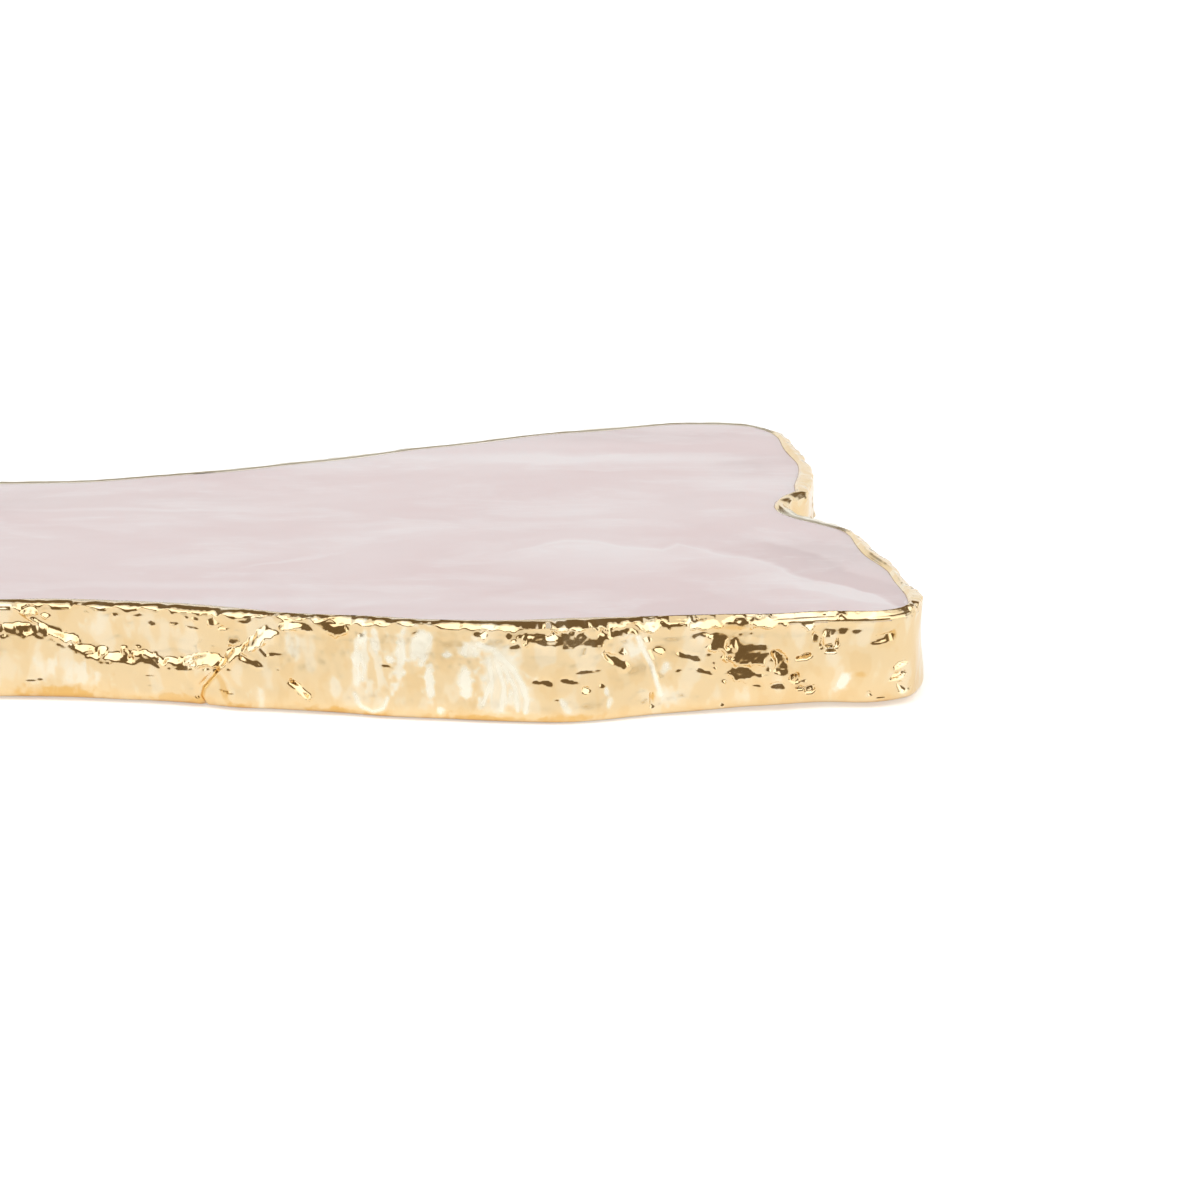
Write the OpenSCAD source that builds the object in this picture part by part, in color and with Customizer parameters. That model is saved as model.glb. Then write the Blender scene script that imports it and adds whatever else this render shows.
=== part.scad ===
// Gua sha stone: a flat, polished slab of rose quartz with a rounded tip at one
// end and two lobes with a notch between them at the other. The broken edge of
// the slab is covered by an electroformed metal band that laps a little way
// over both polished faces.
//
// Millimetres, Z up. The long side lies along X, the lobes towards +X and the
// bulging front side towards -Y. The underside of the band rests on z = 0, and
// the origin is the middle of the footprint.

/* [Stone] */
// Length of the slab from the rounded tip to the end of the longer lobe
stone_length = 88; // [78:0.5:104]
// Width of the slab across the two lobes
lobe_width = 57; // [50:0.5:64]
// Thickness of the slab between its polished faces
stone_thickness = 6.2; // [5:0.2:9]
// Width of the slab at its waist, beside the rounded tip
waist_width = 32.4; // [28:0.4:37]
// Length of the rounded tip, from its end to the waist
tip_length = 17; // [13:0.5:22]
// How far the front side is drawn back at the waist
front_setback = 5.8; // [3:0.2:8]
// Radius at which the polished faces turn into the broken edge
edge_radius = 0.35; // [0.3:0.05:0.7]

/* [Lobes and notch] */
// Width of the front lobe, from the bulge to the middle of the notch
front_lobe_width = 31.7; // [28:0.1:35]
// How much further the front lobe reaches than the back lobe
lobe_stagger = 6; // [3:0.5:9]
// Depth of the notch below the back lobe
notch_depth = 2; // [1.4:0.2:4]
// Width of the notch at its mouth
notch_width = 8.4; // [7:0.2:11]
// How far the front side is drawn back beside the front lobe's corner
corner_setback = 3.4; // [2:0.1:5]
// Distance from the end of the front lobe to the bulge of the front side
bulge_from_lobe = 25.5; // [20:0.5:32]

/* [Broken edge] */
// Depth of the deepest flake scar in the edge
scar_depth = 0.5; // [0.3:0.1:1.2]
// Average length of a flake scar along the edge
scar_length = 8; // [5:0.5:12]
// How far the middle of the front edge leans out at the bottom
front_lean = 1.1; // [0:0.1:2]
// How far the front edge leans in at the bottom beside the lobe's corner
lobe_undercut = 2.6; // [0:0.1:3]

/* [Metal band] */
// Thickness of the electroformed band
band_thickness = 0.3; // [0.2:0.05:0.5]
// Average width that the band covers on each polished face
lap_width = 0.5; // [0.4:0.1:1.2]
// How much the lap wanders in and out, as a share of its width
lap_wander = 0.35; // [0:0.05:0.45]

/* [Hidden] */

stations = 232;       // cross-sections around the edge
spline_steps = 12;    // fine steps between two outline anchors
edge_steps = 2;       // facets of each rounded edge
wall_levels = 3;      // levels of the broken wall between its rounded edges
scar_seed = 4183;     // picks one natural pattern of flake scars
scar_overlap = 1.6;   // flake scars in one average scar length of the edge
scar_reach = 0.55;    // half height of a flake scar, as a share of the wall

stone_bottom = band_thickness;
stone_top = stone_bottom + stone_thickness;
back_lobe_end = stone_length - lobe_stagger;
notch_floor = back_lobe_end - notch_depth;
bulge_x = stone_length - bulge_from_lobe;
tip_axis = front_setback + waist_width / 2;

// ---------------------------------------------------------------- outline

// Points of the rounded tip, a half ellipse, between two angles.
function tip_arc(from, to, count) = [
    for (k = [0 : count - 1])
        let (a = from + (to - from) * k / (count - 1))
        [tip_length * (1 + cos(a)), tip_axis + waist_width / 2 * sin(a)]
];

// The front side, drawn back at the waist and bulging towards the lobes.
front_side = [
    [(2 * tip_length + bulge_x) / 3, 0.86 * front_setback],
    [(tip_length + 2 * bulge_x) / 3, 0.33 * front_setback],
    [bulge_x, 0],
    [(bulge_x + stone_length) / 2 - 3, 0.52 * corner_setback],
    [stone_length - 7.5, corner_setback],
];

// The front lobe, from its blunt corner to its sloping shoulder.
front_lobe = [
    [stone_length - 3, corner_setback + 0.2],
    [stone_length - 0.7, corner_setback + 1.8],
    [stone_length, corner_setback + 4.4],
    [stone_length - 1.2, front_lobe_width * 0.38],
    [stone_length - 2.5, front_lobe_width * 0.56],
    [back_lobe_end + 2, front_lobe_width - notch_width * 0.84],
];

// The notch between the lobes, with a small flat floor.
notch = [
    [back_lobe_end, front_lobe_width - notch_width / 2],
    [notch_floor + 1.1, front_lobe_width - notch_width * 0.38],
    [notch_floor, front_lobe_width - notch_width * 0.16],
    [notch_floor + 0.1, front_lobe_width + notch_width * 0.12],
    [notch_floor + 1.4, front_lobe_width + notch_width * 0.34],
];

// The back lobe and the crest of the back side.
back_lobe = [
    [back_lobe_end - 0.3, front_lobe_width + notch_width * 0.62],
    [back_lobe_end, (front_lobe_width + lobe_width) / 2 - 4],
    [back_lobe_end - 0.9, lobe_width - 9],
    [back_lobe_end - 2.1, lobe_width - 3.4],
    [back_lobe_end - 4.6, lobe_width - 0.5],
    [back_lobe_end - 8.6, lobe_width],
    [back_lobe_end - 17, lobe_width - 2.6],
];

// The hollow back side, sweeping down to the waist.
waist_y = front_setback + waist_width;
crest = back_lobe[len(back_lobe) - 1];
back_side = [
    for (share = [1, 2, 3])
        let (sweep = [0.34, 0.63, 0.86][share - 1],
             drop = [0.41, 0.78, 0.96][share - 1])
        [crest.x + (tip_length + 5 - crest.x) * sweep,
         crest.y + (waist_y - crest.y) * drop]
];

anchors = concat(tip_arc(180, 270, 4), front_side, front_lobe, notch,
                 back_lobe, back_side, tip_arc(90, 150, 3));

// Centripetal Catmull-Rom curve through the anchors.
function knot(a, b) = sqrt(norm(b - a));
function blend(a, b, ta, tb, t) = (a * (tb - t) + b * (t - ta)) / (tb - ta);
function curve_point(p, share) =
    let (t1 = knot(p[0], p[1]),
         t2 = t1 + knot(p[1], p[2]),
         t3 = t2 + knot(p[2], p[3]),
         t = t1 + (t2 - t1) * share,
         a = blend(p[0], p[1], 0, t1, t),
         b = blend(p[1], p[2], t1, t2, t),
         c = blend(p[2], p[3], t2, t3, t))
    blend(blend(a, b, 0, t2, t), blend(b, c, t1, t3, t), t1, t2, t);

fine_curve = [
    for (i = [0 : len(anchors) - 1], k = [0 : spline_steps - 1])
        curve_point([for (n = [-1 : 2]) anchors[(i + n + len(anchors)) % len(anchors)]],
                    k / spline_steps)
];

// Length of the curve up to each of its points, and once more at its end.
function closed(list) = concat(list, [list[0]]);
run = [
    for (i = 0, total = 0; i <= len(fine_curve);
         total = total + (i < len(fine_curve)
             ? norm(closed(fine_curve)[i + 1] - fine_curve[i]) : 0),
         i = i + 1)
        total
];
perimeter = run[len(run) - 1];

// The outline at evenly spaced stations, counter-clockwise from the tip's end.
loop = closed(fine_curve);
run_x = [for (i = [0 : len(run) - 1]) [run[i], loop[i].x]];
run_y = [for (i = [0 : len(run) - 1]) [run[i], loop[i].y]];
outline = [
    for (i = [0 : stations - 1])
        let (s = perimeter * i / stations)
        [lookup(s, run_x), lookup(s, run_y)]
];
outward = [
    for (i = [0 : stations - 1])
        let (along = outline[(i + 1) % stations] - outline[(i - 1 + stations) % stations])
        [along.y, -along.x] / norm(along)
];

// ------------------------------------------------------------ broken edge

// Share of a station's distance from the tip's axis to the front, else 0.
function on_front(p) = p.y < tip_axis ? 1 - p.y / tip_axis : 0;

// Small flake scars, struck high and low in turn round the whole edge:
// [distance round the edge, share of its height, half length, depth].
scar_count = floor(perimeter / scar_length * scar_overlap);
scar_random = rands(0, 1, scar_count * 4, scar_seed);
function scar(k) =
    let (pick = [for (n = [0 : 3]) scar_random[4 * k + n]])
    [(k + 0.7 * pick[0]) * perimeter / scar_count,
     k % 2 == 0 ? 0.55 + 0.4 * pick[1] : 0.05 + 0.4 * pick[1],
     scar_length * (0.45 + 0.5 * pick[2]),
     scar_depth * (0.45 + 0.55 * pick[3])];
scars = [for (k = [0 : scar_count - 1]) scar(k)];

// The large scars of the front edge, as blows on its thick side leave them:
// [distance from the bulge, share of the height, half length, depth factor].
large_scars = [
    [-26, 0.85, 9.5, 1.1],
    [-11.2, 0.45, 2.6, 0.6],
    [-3.2, 0.25, 3.4, 0.5],
    [2.4, 0.85, 3.6, 0.9],
    [6.6, 0.1, 2.4, 0.7],
    [12.6, 0.7, 3, 0.9],
    [20.5, 0.75, 3, 0.7],
];

// Depth of a bowl at a distance from its centre, along and up the wall.
function bowl(along, up, half_length, depth) =
    depth * (1 - pow(along / half_length, 2) - pow(up / scar_reach, 2));
function round_trip(d) = abs(d) > perimeter / 2 ? perimeter - abs(d) : abs(d);
function scar_cut(i, share) = max(0,
    max([for (one = scars)
        bowl(round_trip(perimeter * i / stations - one[0]), share - one[1], one[2], one[3])]),
    max([for (one = large_scars)
        bowl(outline[i].x - bulge_x - one[0], share - one[1], one[2],
             on_front(outline[i]) > 0.5 ? scar_depth * one[3] : 0)]));

// Lean of the front edge: upright beside the tip, bottom out round the bulge,
// and bottom in at the front lobe's corner.
lobe_reach = stone_length - bulge_x;
function lean(p) = on_front(p) * lookup(p.x, [
    [bulge_x - 20, 0],
    [bulge_x - 10, 0.3 * front_lean],
    [bulge_x + 1, front_lean],
    [bulge_x + 0.25 * lobe_reach, 0.6 * front_lean],
    [bulge_x + 0.45 * lobe_reach, -0.4 * lobe_undercut],
    [bulge_x + 0.65 * lobe_reach, -lobe_undercut],
    [stone_length - 2, -lobe_undercut],
    [stone_length, 0],
]);

// Outward offset of the broken wall at a station and a share of its height.
// The ridges between the scars stand proud of the outline by their mean depth.
ridge_height = scar_depth / 3;
function wall_offset(i, share) =
    lean(outline[i]) * (0.5 - share) + ridge_height - scar_cut(i, share);

// One cross-section of the stone's edge, from the bottom face to the top face.
// Each entry is [outward, height, direction of the surface].
wall_low = stone_bottom + edge_radius;
wall_high = stone_top - edge_radius;
function edge_turn(i, from, to, height, share) = [
    for (k = [0 : edge_steps])
        let (a = from + (to - from) * k / edge_steps)
        [wall_offset(i, share) + edge_radius * (cos(a) - 1), height + edge_radius * sin(a), a]
];
function wall(i) = [
    for (k = [1 : wall_levels])
        let (share = k / (wall_levels + 1))
        [wall_offset(i, share), wall_low + (wall_high - wall_low) * share, 0]
];
function edge_section(i) = concat(
    edge_turn(i, -90, 0, wall_low, 0), wall(i), edge_turn(i, 0, 90, wall_high, 1));
sections = [for (i = [0 : stations - 1]) edge_section(i)];
levels = len(sections[0]);

// ------------------------------------------------------------------- band

// Width of the lap at a station, on the bottom face or on the top face.
function wander(s, phase) =
    (sin(360 * 9 * s / perimeter + phase) + sin(360 * 23 * s / perimeter + 2 * phase)) / 2;
function lap(i, phase) =
    lap_width * (1 + lap_wander * wander(perimeter * i / stations, phase));

// The band's skin: the stone's own edge, and its outside one thickness away.
lap_bevel = band_thickness / 2;
function skin_section(i) =
    let (edge = sections[i],
         low = lap(i, 40),
         high = lap(i, 125),
         foot = edge[0][0],
         head = edge[levels - 1][0])
    concat(
        [[foot - low, stone_bottom]],
        [for (p = edge) [p[0], p[1]]],
        [[head - high, stone_top]],
        [[head - high + lap_bevel, stone_top + band_thickness]],
        [for (k = [levels - 1 : -1 : 0])
            let (p = edge[k])
            [p[0] + band_thickness * cos(p[2]), p[1] + band_thickness * sin(p[2])]],
        [[foot - low + lap_bevel, stone_bottom - band_thickness]]);
skins = [for (i = [0 : stations - 1]) skin_section(i)];

// --------------------------------------------------------------- surfaces

// Places a section point, [outward, height], at its station.
function place(i, p) =
    [outline[i].x + outward[i].x * p[0], outline[i].y + outward[i].y * p[0], p[1]];
function placed(rings) = [
    for (i = [0 : stations - 1], p = rings[i]) place(i, p)
];

// Triangles of the strip between section points j and k of every station.
function strip(count, j, k) = [
    for (i = [0 : stations - 1])
        let (here = i * count, next = ((i + 1) % stations) * count)
        each [[here + j, here + k, next + k], [here + j, next + k, next + j]]
];

// The footprint's middle, which is the origin.
band_points = placed(skins);
function middle(list) = (min(list) + max(list)) / 2;
footprint_middle = [
    middle([for (p = band_points) p.x]),
    middle([for (p = band_points) p.y]),
    0
];

// The polished slab of rose quartz.
module stone_slab() {
    rim = [for (i = [0 : stations - 1]) i * levels];
    sides = [for (j = [0 : levels - 2]) each strip(levels, j, j + 1)];
    bottom_face = rim;
    top_face = [for (i = [stations - 1 : -1 : 0]) i * levels + levels - 1];
    color([0.93, 0.83, 0.83])
        translate(-footprint_middle)
            polyhedron(placed(sections), concat(sides, [bottom_face, top_face]));
}

// The gold-plated band electroformed onto the broken edge.
module gold_edge_band() {
    count = len(skins[0]);
    color([0.93, 0.76, 0.45])
        translate(-footprint_middle)
            polyhedron(band_points,
                       [for (j = [0 : count - 1]) each strip(count, (j + 1) % count, j)]);
}

stone_slab();
gold_edge_band();
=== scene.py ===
# %% [markdown]
# # A gua sha stone with a gilded edge
# The object is one flat slab of rose quartz. Both its faces are polished, and its edge is broken
# by hand and then covered with a thin layer of copper and gold, grown on it in a plating bath.
# The construction model holds the slab and the band at their real size. This script gives the
# band its fine relief, and gives both pieces their finish.

import math

import bmesh
import bpy
import numpy as np
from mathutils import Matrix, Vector, bvhtree, noise


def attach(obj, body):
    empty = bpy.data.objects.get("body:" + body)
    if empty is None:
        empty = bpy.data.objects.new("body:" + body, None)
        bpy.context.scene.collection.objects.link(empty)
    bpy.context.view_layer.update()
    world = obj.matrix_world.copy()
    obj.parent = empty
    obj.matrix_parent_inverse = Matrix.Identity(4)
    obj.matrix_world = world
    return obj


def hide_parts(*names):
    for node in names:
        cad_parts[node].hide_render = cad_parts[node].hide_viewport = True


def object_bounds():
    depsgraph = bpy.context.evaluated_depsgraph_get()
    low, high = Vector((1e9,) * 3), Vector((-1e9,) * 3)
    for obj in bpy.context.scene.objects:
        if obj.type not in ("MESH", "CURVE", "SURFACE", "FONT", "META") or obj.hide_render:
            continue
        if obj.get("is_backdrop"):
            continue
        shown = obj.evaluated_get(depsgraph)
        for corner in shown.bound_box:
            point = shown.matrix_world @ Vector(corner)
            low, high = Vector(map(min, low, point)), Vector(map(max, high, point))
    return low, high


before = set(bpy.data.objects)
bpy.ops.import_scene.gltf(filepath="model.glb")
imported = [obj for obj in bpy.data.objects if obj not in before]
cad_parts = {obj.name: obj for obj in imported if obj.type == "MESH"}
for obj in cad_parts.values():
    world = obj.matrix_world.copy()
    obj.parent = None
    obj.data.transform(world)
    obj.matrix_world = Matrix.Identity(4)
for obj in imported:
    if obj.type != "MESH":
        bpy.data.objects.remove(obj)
cad_low, cad_high = (Vector(corner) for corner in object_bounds())
MM = 0.001
print("the construction model is", [round(side / MM, 1) for side in cad_high - cad_low], "mm")

# %% [markdown]
# ## The camera
# The stone is seen from low down, so that its edge shows at its full height while the polished
# face is a narrow strip. A wide lens from close by would make the far side shrink too much. A
# long lens from 30 cm keeps the two sides nearly parallel. The camera looks straight along +Y,
# 16 degrees down, at a point above the front edge.

# %% Camera
camera_distance = 0.3
view_elevation = math.radians(16)
# The aim is measured from the end of the lobe, the front edge and the upper face.
aim = Vector((cad_high.x - 21.9 * MM, cad_low.y + 2.3 * MM, cad_high.z + 1.2 * MM))
towards_camera = Vector((0, -math.cos(view_elevation), math.sin(view_elevation)))
camera_data = bpy.data.cameras.new("camera")
camera_data.lens = 136.8
camera_data.sensor_width = 36
camera_data.clip_start = 0.01
camera = bpy.data.objects.new("camera", camera_data)
camera.location = aim + camera_distance * towards_camera
camera.rotation_euler = (math.pi / 2 - view_elevation, 0, 0)
bpy.context.scene.collection.objects.link(camera)
bpy.context.scene.camera = camera
bpy.context.scene.view_settings.view_transform = "Standard"
print("camera at", [round(value / MM, 1) for value in camera.location], "mm")

# %% [markdown]
# ## Helpers for shader nodes
# Every material below is a small tree of nodes. One helper adds a node, sets its options and
# fills its sockets, either with a value or with a link from another node. The others add the
# kinds of node that are used most, and give back what comes out of them.

# %% Node helpers
def add_node(tree, kind, options=None, sockets=None):
    """Adds a node, sets its options, and fills its input sockets with values or links."""
    made = tree.nodes.new(kind)
    for name, value in (options or {}).items():
        setattr(made, name, value)
    for socket, value in (sockets or {}).items():
        if isinstance(value, bpy.types.NodeSocket):
            tree.links.new(value, made.inputs[socket])
        else:
            made.inputs[socket].default_value = value
    return made


def calculate(tree, operation, *values):
    """One step of arithmetic on numbers that change over a surface."""
    sockets = dict(enumerate(values))
    return add_node(tree, "ShaderNodeMath", {"operation": operation}, sockets).outputs[0]


def vector_step(tree, operation, sockets):
    """One step of arithmetic on vectors. It gives back the node's outputs."""
    return add_node(tree, "ShaderNodeVectorMath", {"operation": operation}, sockets).outputs


def split(tree, vector):
    """The outputs X, Y and Z of a vector."""
    return add_node(tree, "ShaderNodeSeparateXYZ", sockets={0: vector}).outputs


def ramp(tree, value, start, end, low=0.0, high=1.0):
    """Turns a number that goes from start to end into one that goes smoothly from low to high."""
    options = {"interpolation_type": "SMOOTHSTEP"}
    sockets = {"Value": value, "From Min": start, "From Max": end, "To Min": low, "To Max": high}
    return add_node(tree, "ShaderNodeMapRange", options, sockets).outputs["Result"]


def mix_colours(tree, share, first, second):
    """A colour that goes from the first to the second while the share goes from 0 to 1."""
    # The sockets of a Mix node for colours have the numbers 0, 6 and 7, and its output is 2.
    sockets = {0: share, 6: first, 7: second}
    return add_node(tree, "ShaderNodeMix", {"data_type": "RGBA"}, sockets).outputs[2]


def noise_at(tree, position, scale, detail, roughness=0.5):
    """Blender's own noise. It gives back the node's outputs."""
    sockets = {"Vector": position, "Scale": scale, "Detail": detail, "Roughness": roughness}
    return add_node(tree, "ShaderNodeTexNoise", sockets=sockets).outputs


# %% Helpers for node groups
def new_group(name, inputs, outputs):
    """An empty node group with named sockets, given as {name: (kind, start value)}."""
    tree = bpy.data.node_groups.new(name, "ShaderNodeTree")
    for socket, (kind, value) in inputs.items():
        made = tree.interface.new_socket(socket, in_out="INPUT", socket_type="NodeSocket" + kind)
        if value is not None:
            made.default_value = value
    for socket, kind in outputs.items():
        tree.interface.new_socket(socket, in_out="OUTPUT", socket_type="NodeSocket" + kind)
    return tree, tree.nodes.new("NodeGroupInput"), tree.nodes.new("NodeGroupOutput")


def place_group(tree, group, sockets):
    """Puts a node group into a material with its own values."""
    return add_node(tree, "ShaderNodeGroup", {"node_tree": group}, sockets)


# %% [markdown]
# ## The studio
# Polished metal has almost no colour pattern of its own: it shows the room. A studio for such
# work surrounds gold with white and leaves one dark place, the room behind the camera, so that
# every dent gets a dark line and a bright one. The world is that room. It is white, with soft
# boxes brighter than white and a few dark cards, each given by its direction. A card is a node
# group: it tells how much of the card lies in the direction that a ray goes.

# %% A studio card
card_sockets = {
    "Azimuth": ("Float", 0.0),
    "Elevation": ("Float", 0.0),
    "Centre azimuth": ("Float", 0.0),
    "Centre elevation": ("Float", 0.0),
    "Half width": ("Float", 0.5),
    "Half height": ("Float", 0.3),
    "Softness": ("Float", 0.05),
}
card_group, card_in, card_out = new_group("studio_card", card_sockets, {"Cover": "Float"})


def card_share(value, centre, half, wrap):
    """How far a direction lies inside the card, along one of its sides."""
    offset = calculate(card_group, "SUBTRACT", card_in.outputs[value], card_in.outputs[centre])
    if wrap:
        offset = calculate(card_group, "WRAP", offset, math.pi, -math.pi)
    distance = calculate(card_group, "ABSOLUTE", offset)
    outer = calculate(card_group, "ADD", card_in.outputs[half], card_in.outputs["Softness"])
    inner = calculate(card_group, "SUBTRACT", card_in.outputs[half], card_in.outputs["Softness"])
    return ramp(card_group, distance, outer, inner)


card_cover = calculate(
    card_group,
    "MULTIPLY",
    card_share("Azimuth", "Centre azimuth", "Half width", True),
    card_share("Elevation", "Centre elevation", "Half height", False),
)
card_group.links.new(card_cover, card_out.inputs["Cover"])
print("a studio card has", len(card_group.nodes), "nodes")

# %% Directions in the room
world = bpy.data.worlds.new("studio")
world.use_nodes = True
room = world.node_tree
room.nodes.clear()
axes = split(room, add_node(room, "ShaderNodeTexCoord").outputs["Generated"])
# Azimuth 0 is the camera's side, -Y, and grows towards +X.
towards_front = calculate(room, "MULTIPLY", axes["Y"], -1.0)
ray_azimuth = calculate(room, "ARCTAN2", axes["X"], towards_front)
ray_elevation = calculate(room, "ARCSINE", axes["Z"])

# %% Cards in the room
# Azimuth, elevation, half width, half height and softness in degrees, and the colour.
# The dark cards are brown, as the wood of a room is.
dark_room = (0.18, 0.13, 0.075)
amber_wall = (0.78, 0.64, 0.44)
soft_box = (1.8, 1.8, 1.8)
side_box = (1.5, 1.5, 1.5)
studio_cards = [
    (62, 25, 22, 24, 6, side_box),
    (-62, 25, 22, 24, 6, side_box),
    (0, 20, 44, 18, 3, amber_wall),
    (0, 20, 40, 14.5, 2, dark_room),
    (0, 66, 70, 26, 5, soft_box),
    (180, 46, 75, 20, 4, dark_room),
    (100, 18, 14, 10, 4, dark_room),
    (-100, 18, 14, 10, 4, dark_room),
]
card_angles = ("Centre azimuth", "Centre elevation", "Half width", "Half height", "Softness")
white = (1.0, 1.0, 1.0, 1)
light = white
for *angles, colour in studio_cards:
    sockets = {"Azimuth": ray_azimuth, "Elevation": ray_elevation}
    sockets.update(zip(card_angles, map(math.radians, angles)))
    card = place_group(room, card_group, sockets)
    light = mix_colours(room, card.outputs["Cover"], light, (*colour, 1))

is_camera = add_node(room, "ShaderNodeLightPath").outputs["Is Camera Ray"]
seen = mix_colours(room, is_camera, light, white)
background = add_node(room, "ShaderNodeBackground", sockets={"Color": seen})
room_out = add_node(room, "ShaderNodeOutputWorld")
room.links.new(background.outputs[0], room_out.inputs["Surface"])
bpy.context.scene.world = world
print("the studio has", len(studio_cards), "cards")

# %% [markdown]
# The stone lies on white paper, which keeps its soft shadow. More light would make the paper
# white, but it would bleach the stone too. So the paper is a plain plane that glows a little,
# for the camera alone, and meets the white room without a line. What the gilding shows of it is
# set apart from that, because the lower half of every upright wall mirrors it.

# %% Floor
floor_size = 6
bpy.ops.mesh.primitive_plane_add(size=floor_size)
floor = bpy.context.object
floor.name = "floor"
floor_finish = bpy.data.materials.new("white_paper")
floor_finish.use_nodes = True
floor.data.materials.append(floor_finish)
paper = floor_finish.node_tree
paper_shader = paper.nodes["Principled BSDF"]
paper_shader.inputs["Roughness"].default_value = 0.9
paper_shader.inputs["Specular IOR Level"].default_value = 0.1
paper_shader.inputs["Emission Color"].default_value = (1, 1, 1, 1)
# For glossy rays alone the paper's light is painted: it glows more under the stone, and its colour
# is greyer towards the camera, which gilding shows as a change from light to deeper gold.
path = add_node(paper, "ShaderNodeLightPath")
forward = split(paper, add_node(paper, "ShaderNodeTexCoord").outputs["Object"])["Y"]
in_gilding = path.outputs["Is Glossy Ray"]
painted_dimming_share = calculate(paper, "MULTIPLY", in_gilding, ramp(paper, forward, -0.06, -0.16))
paper_tone_with_painted_shade = mix_colours(paper, painted_dimming_share, (0.9, 0.9, 0.9, 1), (0.8, 0.79, 0.76, 1))
paper.links.new(paper_tone_with_painted_shade, paper_shader.inputs["Base Color"])
# Painted glow, seen only in the gilding, stronger near the stone.
painted_glow_near_stone = ramp(paper, forward, -0.09, -0.03, 0.06, 0.25)
painted_glow_in_gilding = calculate(paper, "MULTIPLY", in_gilding, painted_glow_near_stone)
glow = 0.42
lift_to_camera = calculate(paper, "MULTIPLY", path.outputs["Is Camera Ray"], glow)
lift = calculate(paper, "ADD", painted_glow_in_gilding, lift_to_camera)
paper.links.new(lift, paper_shader.inputs["Emission Strength"])
floor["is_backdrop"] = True
print("the floor is", floor_size, "m wide")

# %% [markdown]
# ## A shared pattern: natural noise
# Both the mineral and the plating vary without any repeat. Noise does that, if it is bent a
# little by a second, larger noise. The pattern is built once as a node group, with its size in
# millimetres and a length that draws it out along X, and each finish uses it with its own
# values. It reads Object coordinates, so it stays in place when the stone is seen from elsewhere.

# %% Natural noise group
noise_sockets = {
    "Position": ("Vector", None),
    "Size": ("Float", 5.0),
    "Length": ("Float", 1.0),
    "Bend": ("Float", 0.5),
    "Seed": ("Float", 0.0),
}
natural_noise, noise_in, noise_out = new_group("natural_noise", noise_sockets, {"Pattern": "Float"})
per_size = calculate(natural_noise, "DIVIDE", 1 / MM, noise_in.outputs["Size"])
scaled = vector_step(natural_noise, "SCALE", {0: noise_in.outputs["Position"], 3: per_size})
scaled_axes = split(natural_noise, scaled[0])
drawn_out = add_node(
    natural_noise,
    "ShaderNodeCombineXYZ",
    sockets={
        0: calculate(natural_noise, "DIVIDE", scaled_axes["X"], noise_in.outputs["Length"]),
        1: scaled_axes["Y"],
        2: calculate(natural_noise, "ADD", scaled_axes["Z"], noise_in.outputs["Seed"]),
    },
).outputs[0]
larger_noise = noise_at(natural_noise, drawn_out, 0.6, 1.0)["Color"]
bend_offset = vector_step(natural_noise, "SCALE", {0: larger_noise, 3: noise_in.outputs["Bend"]})
bent = vector_step(natural_noise, "ADD", {0: drawn_out, 1: bend_offset[0]})
pattern = noise_at(natural_noise, bent[0], 1.0, 4.0, roughness=0.55)
natural_noise.links.new(pattern[0], noise_out.inputs["Pattern"])
print("natural noise has", len(natural_noise.nodes), "nodes")


def place_noise(tree, position, size, length=1.0, bend=0.5, seed=0.0):
    """Natural noise in a material, about 0.5 on average, with features of a size in millimetres."""
    values = {"Position": position, "Size": size, "Length": length, "Bend": bend, "Seed": seed}
    return place_group(tree, natural_noise, values).outputs["Pattern"]


# %% [markdown]
# ## The stone: a flat face without folds
# The real faces are ground flat and polished, so each is one face here too. The construction
# model makes them of long triangles, and some of these fold over each other at the hollow side.
# The slab is copied, the triangles of both flat faces are taken out, and each outline is filled
# with one face.

# %% The polished slab
stone_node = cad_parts["stone_slab"]
merge_distance = 0.002 * MM
slab = bmesh.new()
slab.from_mesh(stone_node.data)
bmesh.ops.remove_doubles(slab, verts=slab.verts[:], dist=merge_distance)
slab_levels = [vert.co.z for vert in slab.verts]
for face_level in (min(slab_levels), max(slab_levels)):
    flat_faces = [
        face for face in slab.faces
        if all(abs(vert.co.z - face_level) < 0.001 * MM for vert in face.verts)
    ]
    bmesh.ops.delete(slab, geom=flat_faces, context="FACES_ONLY")
    spokes = [edge for edge in slab.edges if not edge.link_faces]
    bmesh.ops.delete(slab, geom=spokes, context="EDGES")
    outline_edges = [edge for edge in slab.edges if edge.is_boundary]
    bmesh.ops.edgeloop_fill(slab, edges=outline_edges)
bmesh.ops.recalc_face_normals(slab, faces=slab.faces[:])
open_edges = sum(edge.is_boundary for edge in slab.edges)
print("the slab has", len(slab.faces), "faces, open edges:", open_edges)
slab_data = bpy.data.meshes.new("polished_slab")
slab.to_mesh(slab_data)
slab.free()
polished_slab = bpy.data.objects.new("polished_slab", slab_data)
bpy.context.scene.collection.objects.link(polished_slab)
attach(polished_slab, "root")
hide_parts("stone_slab")
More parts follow.
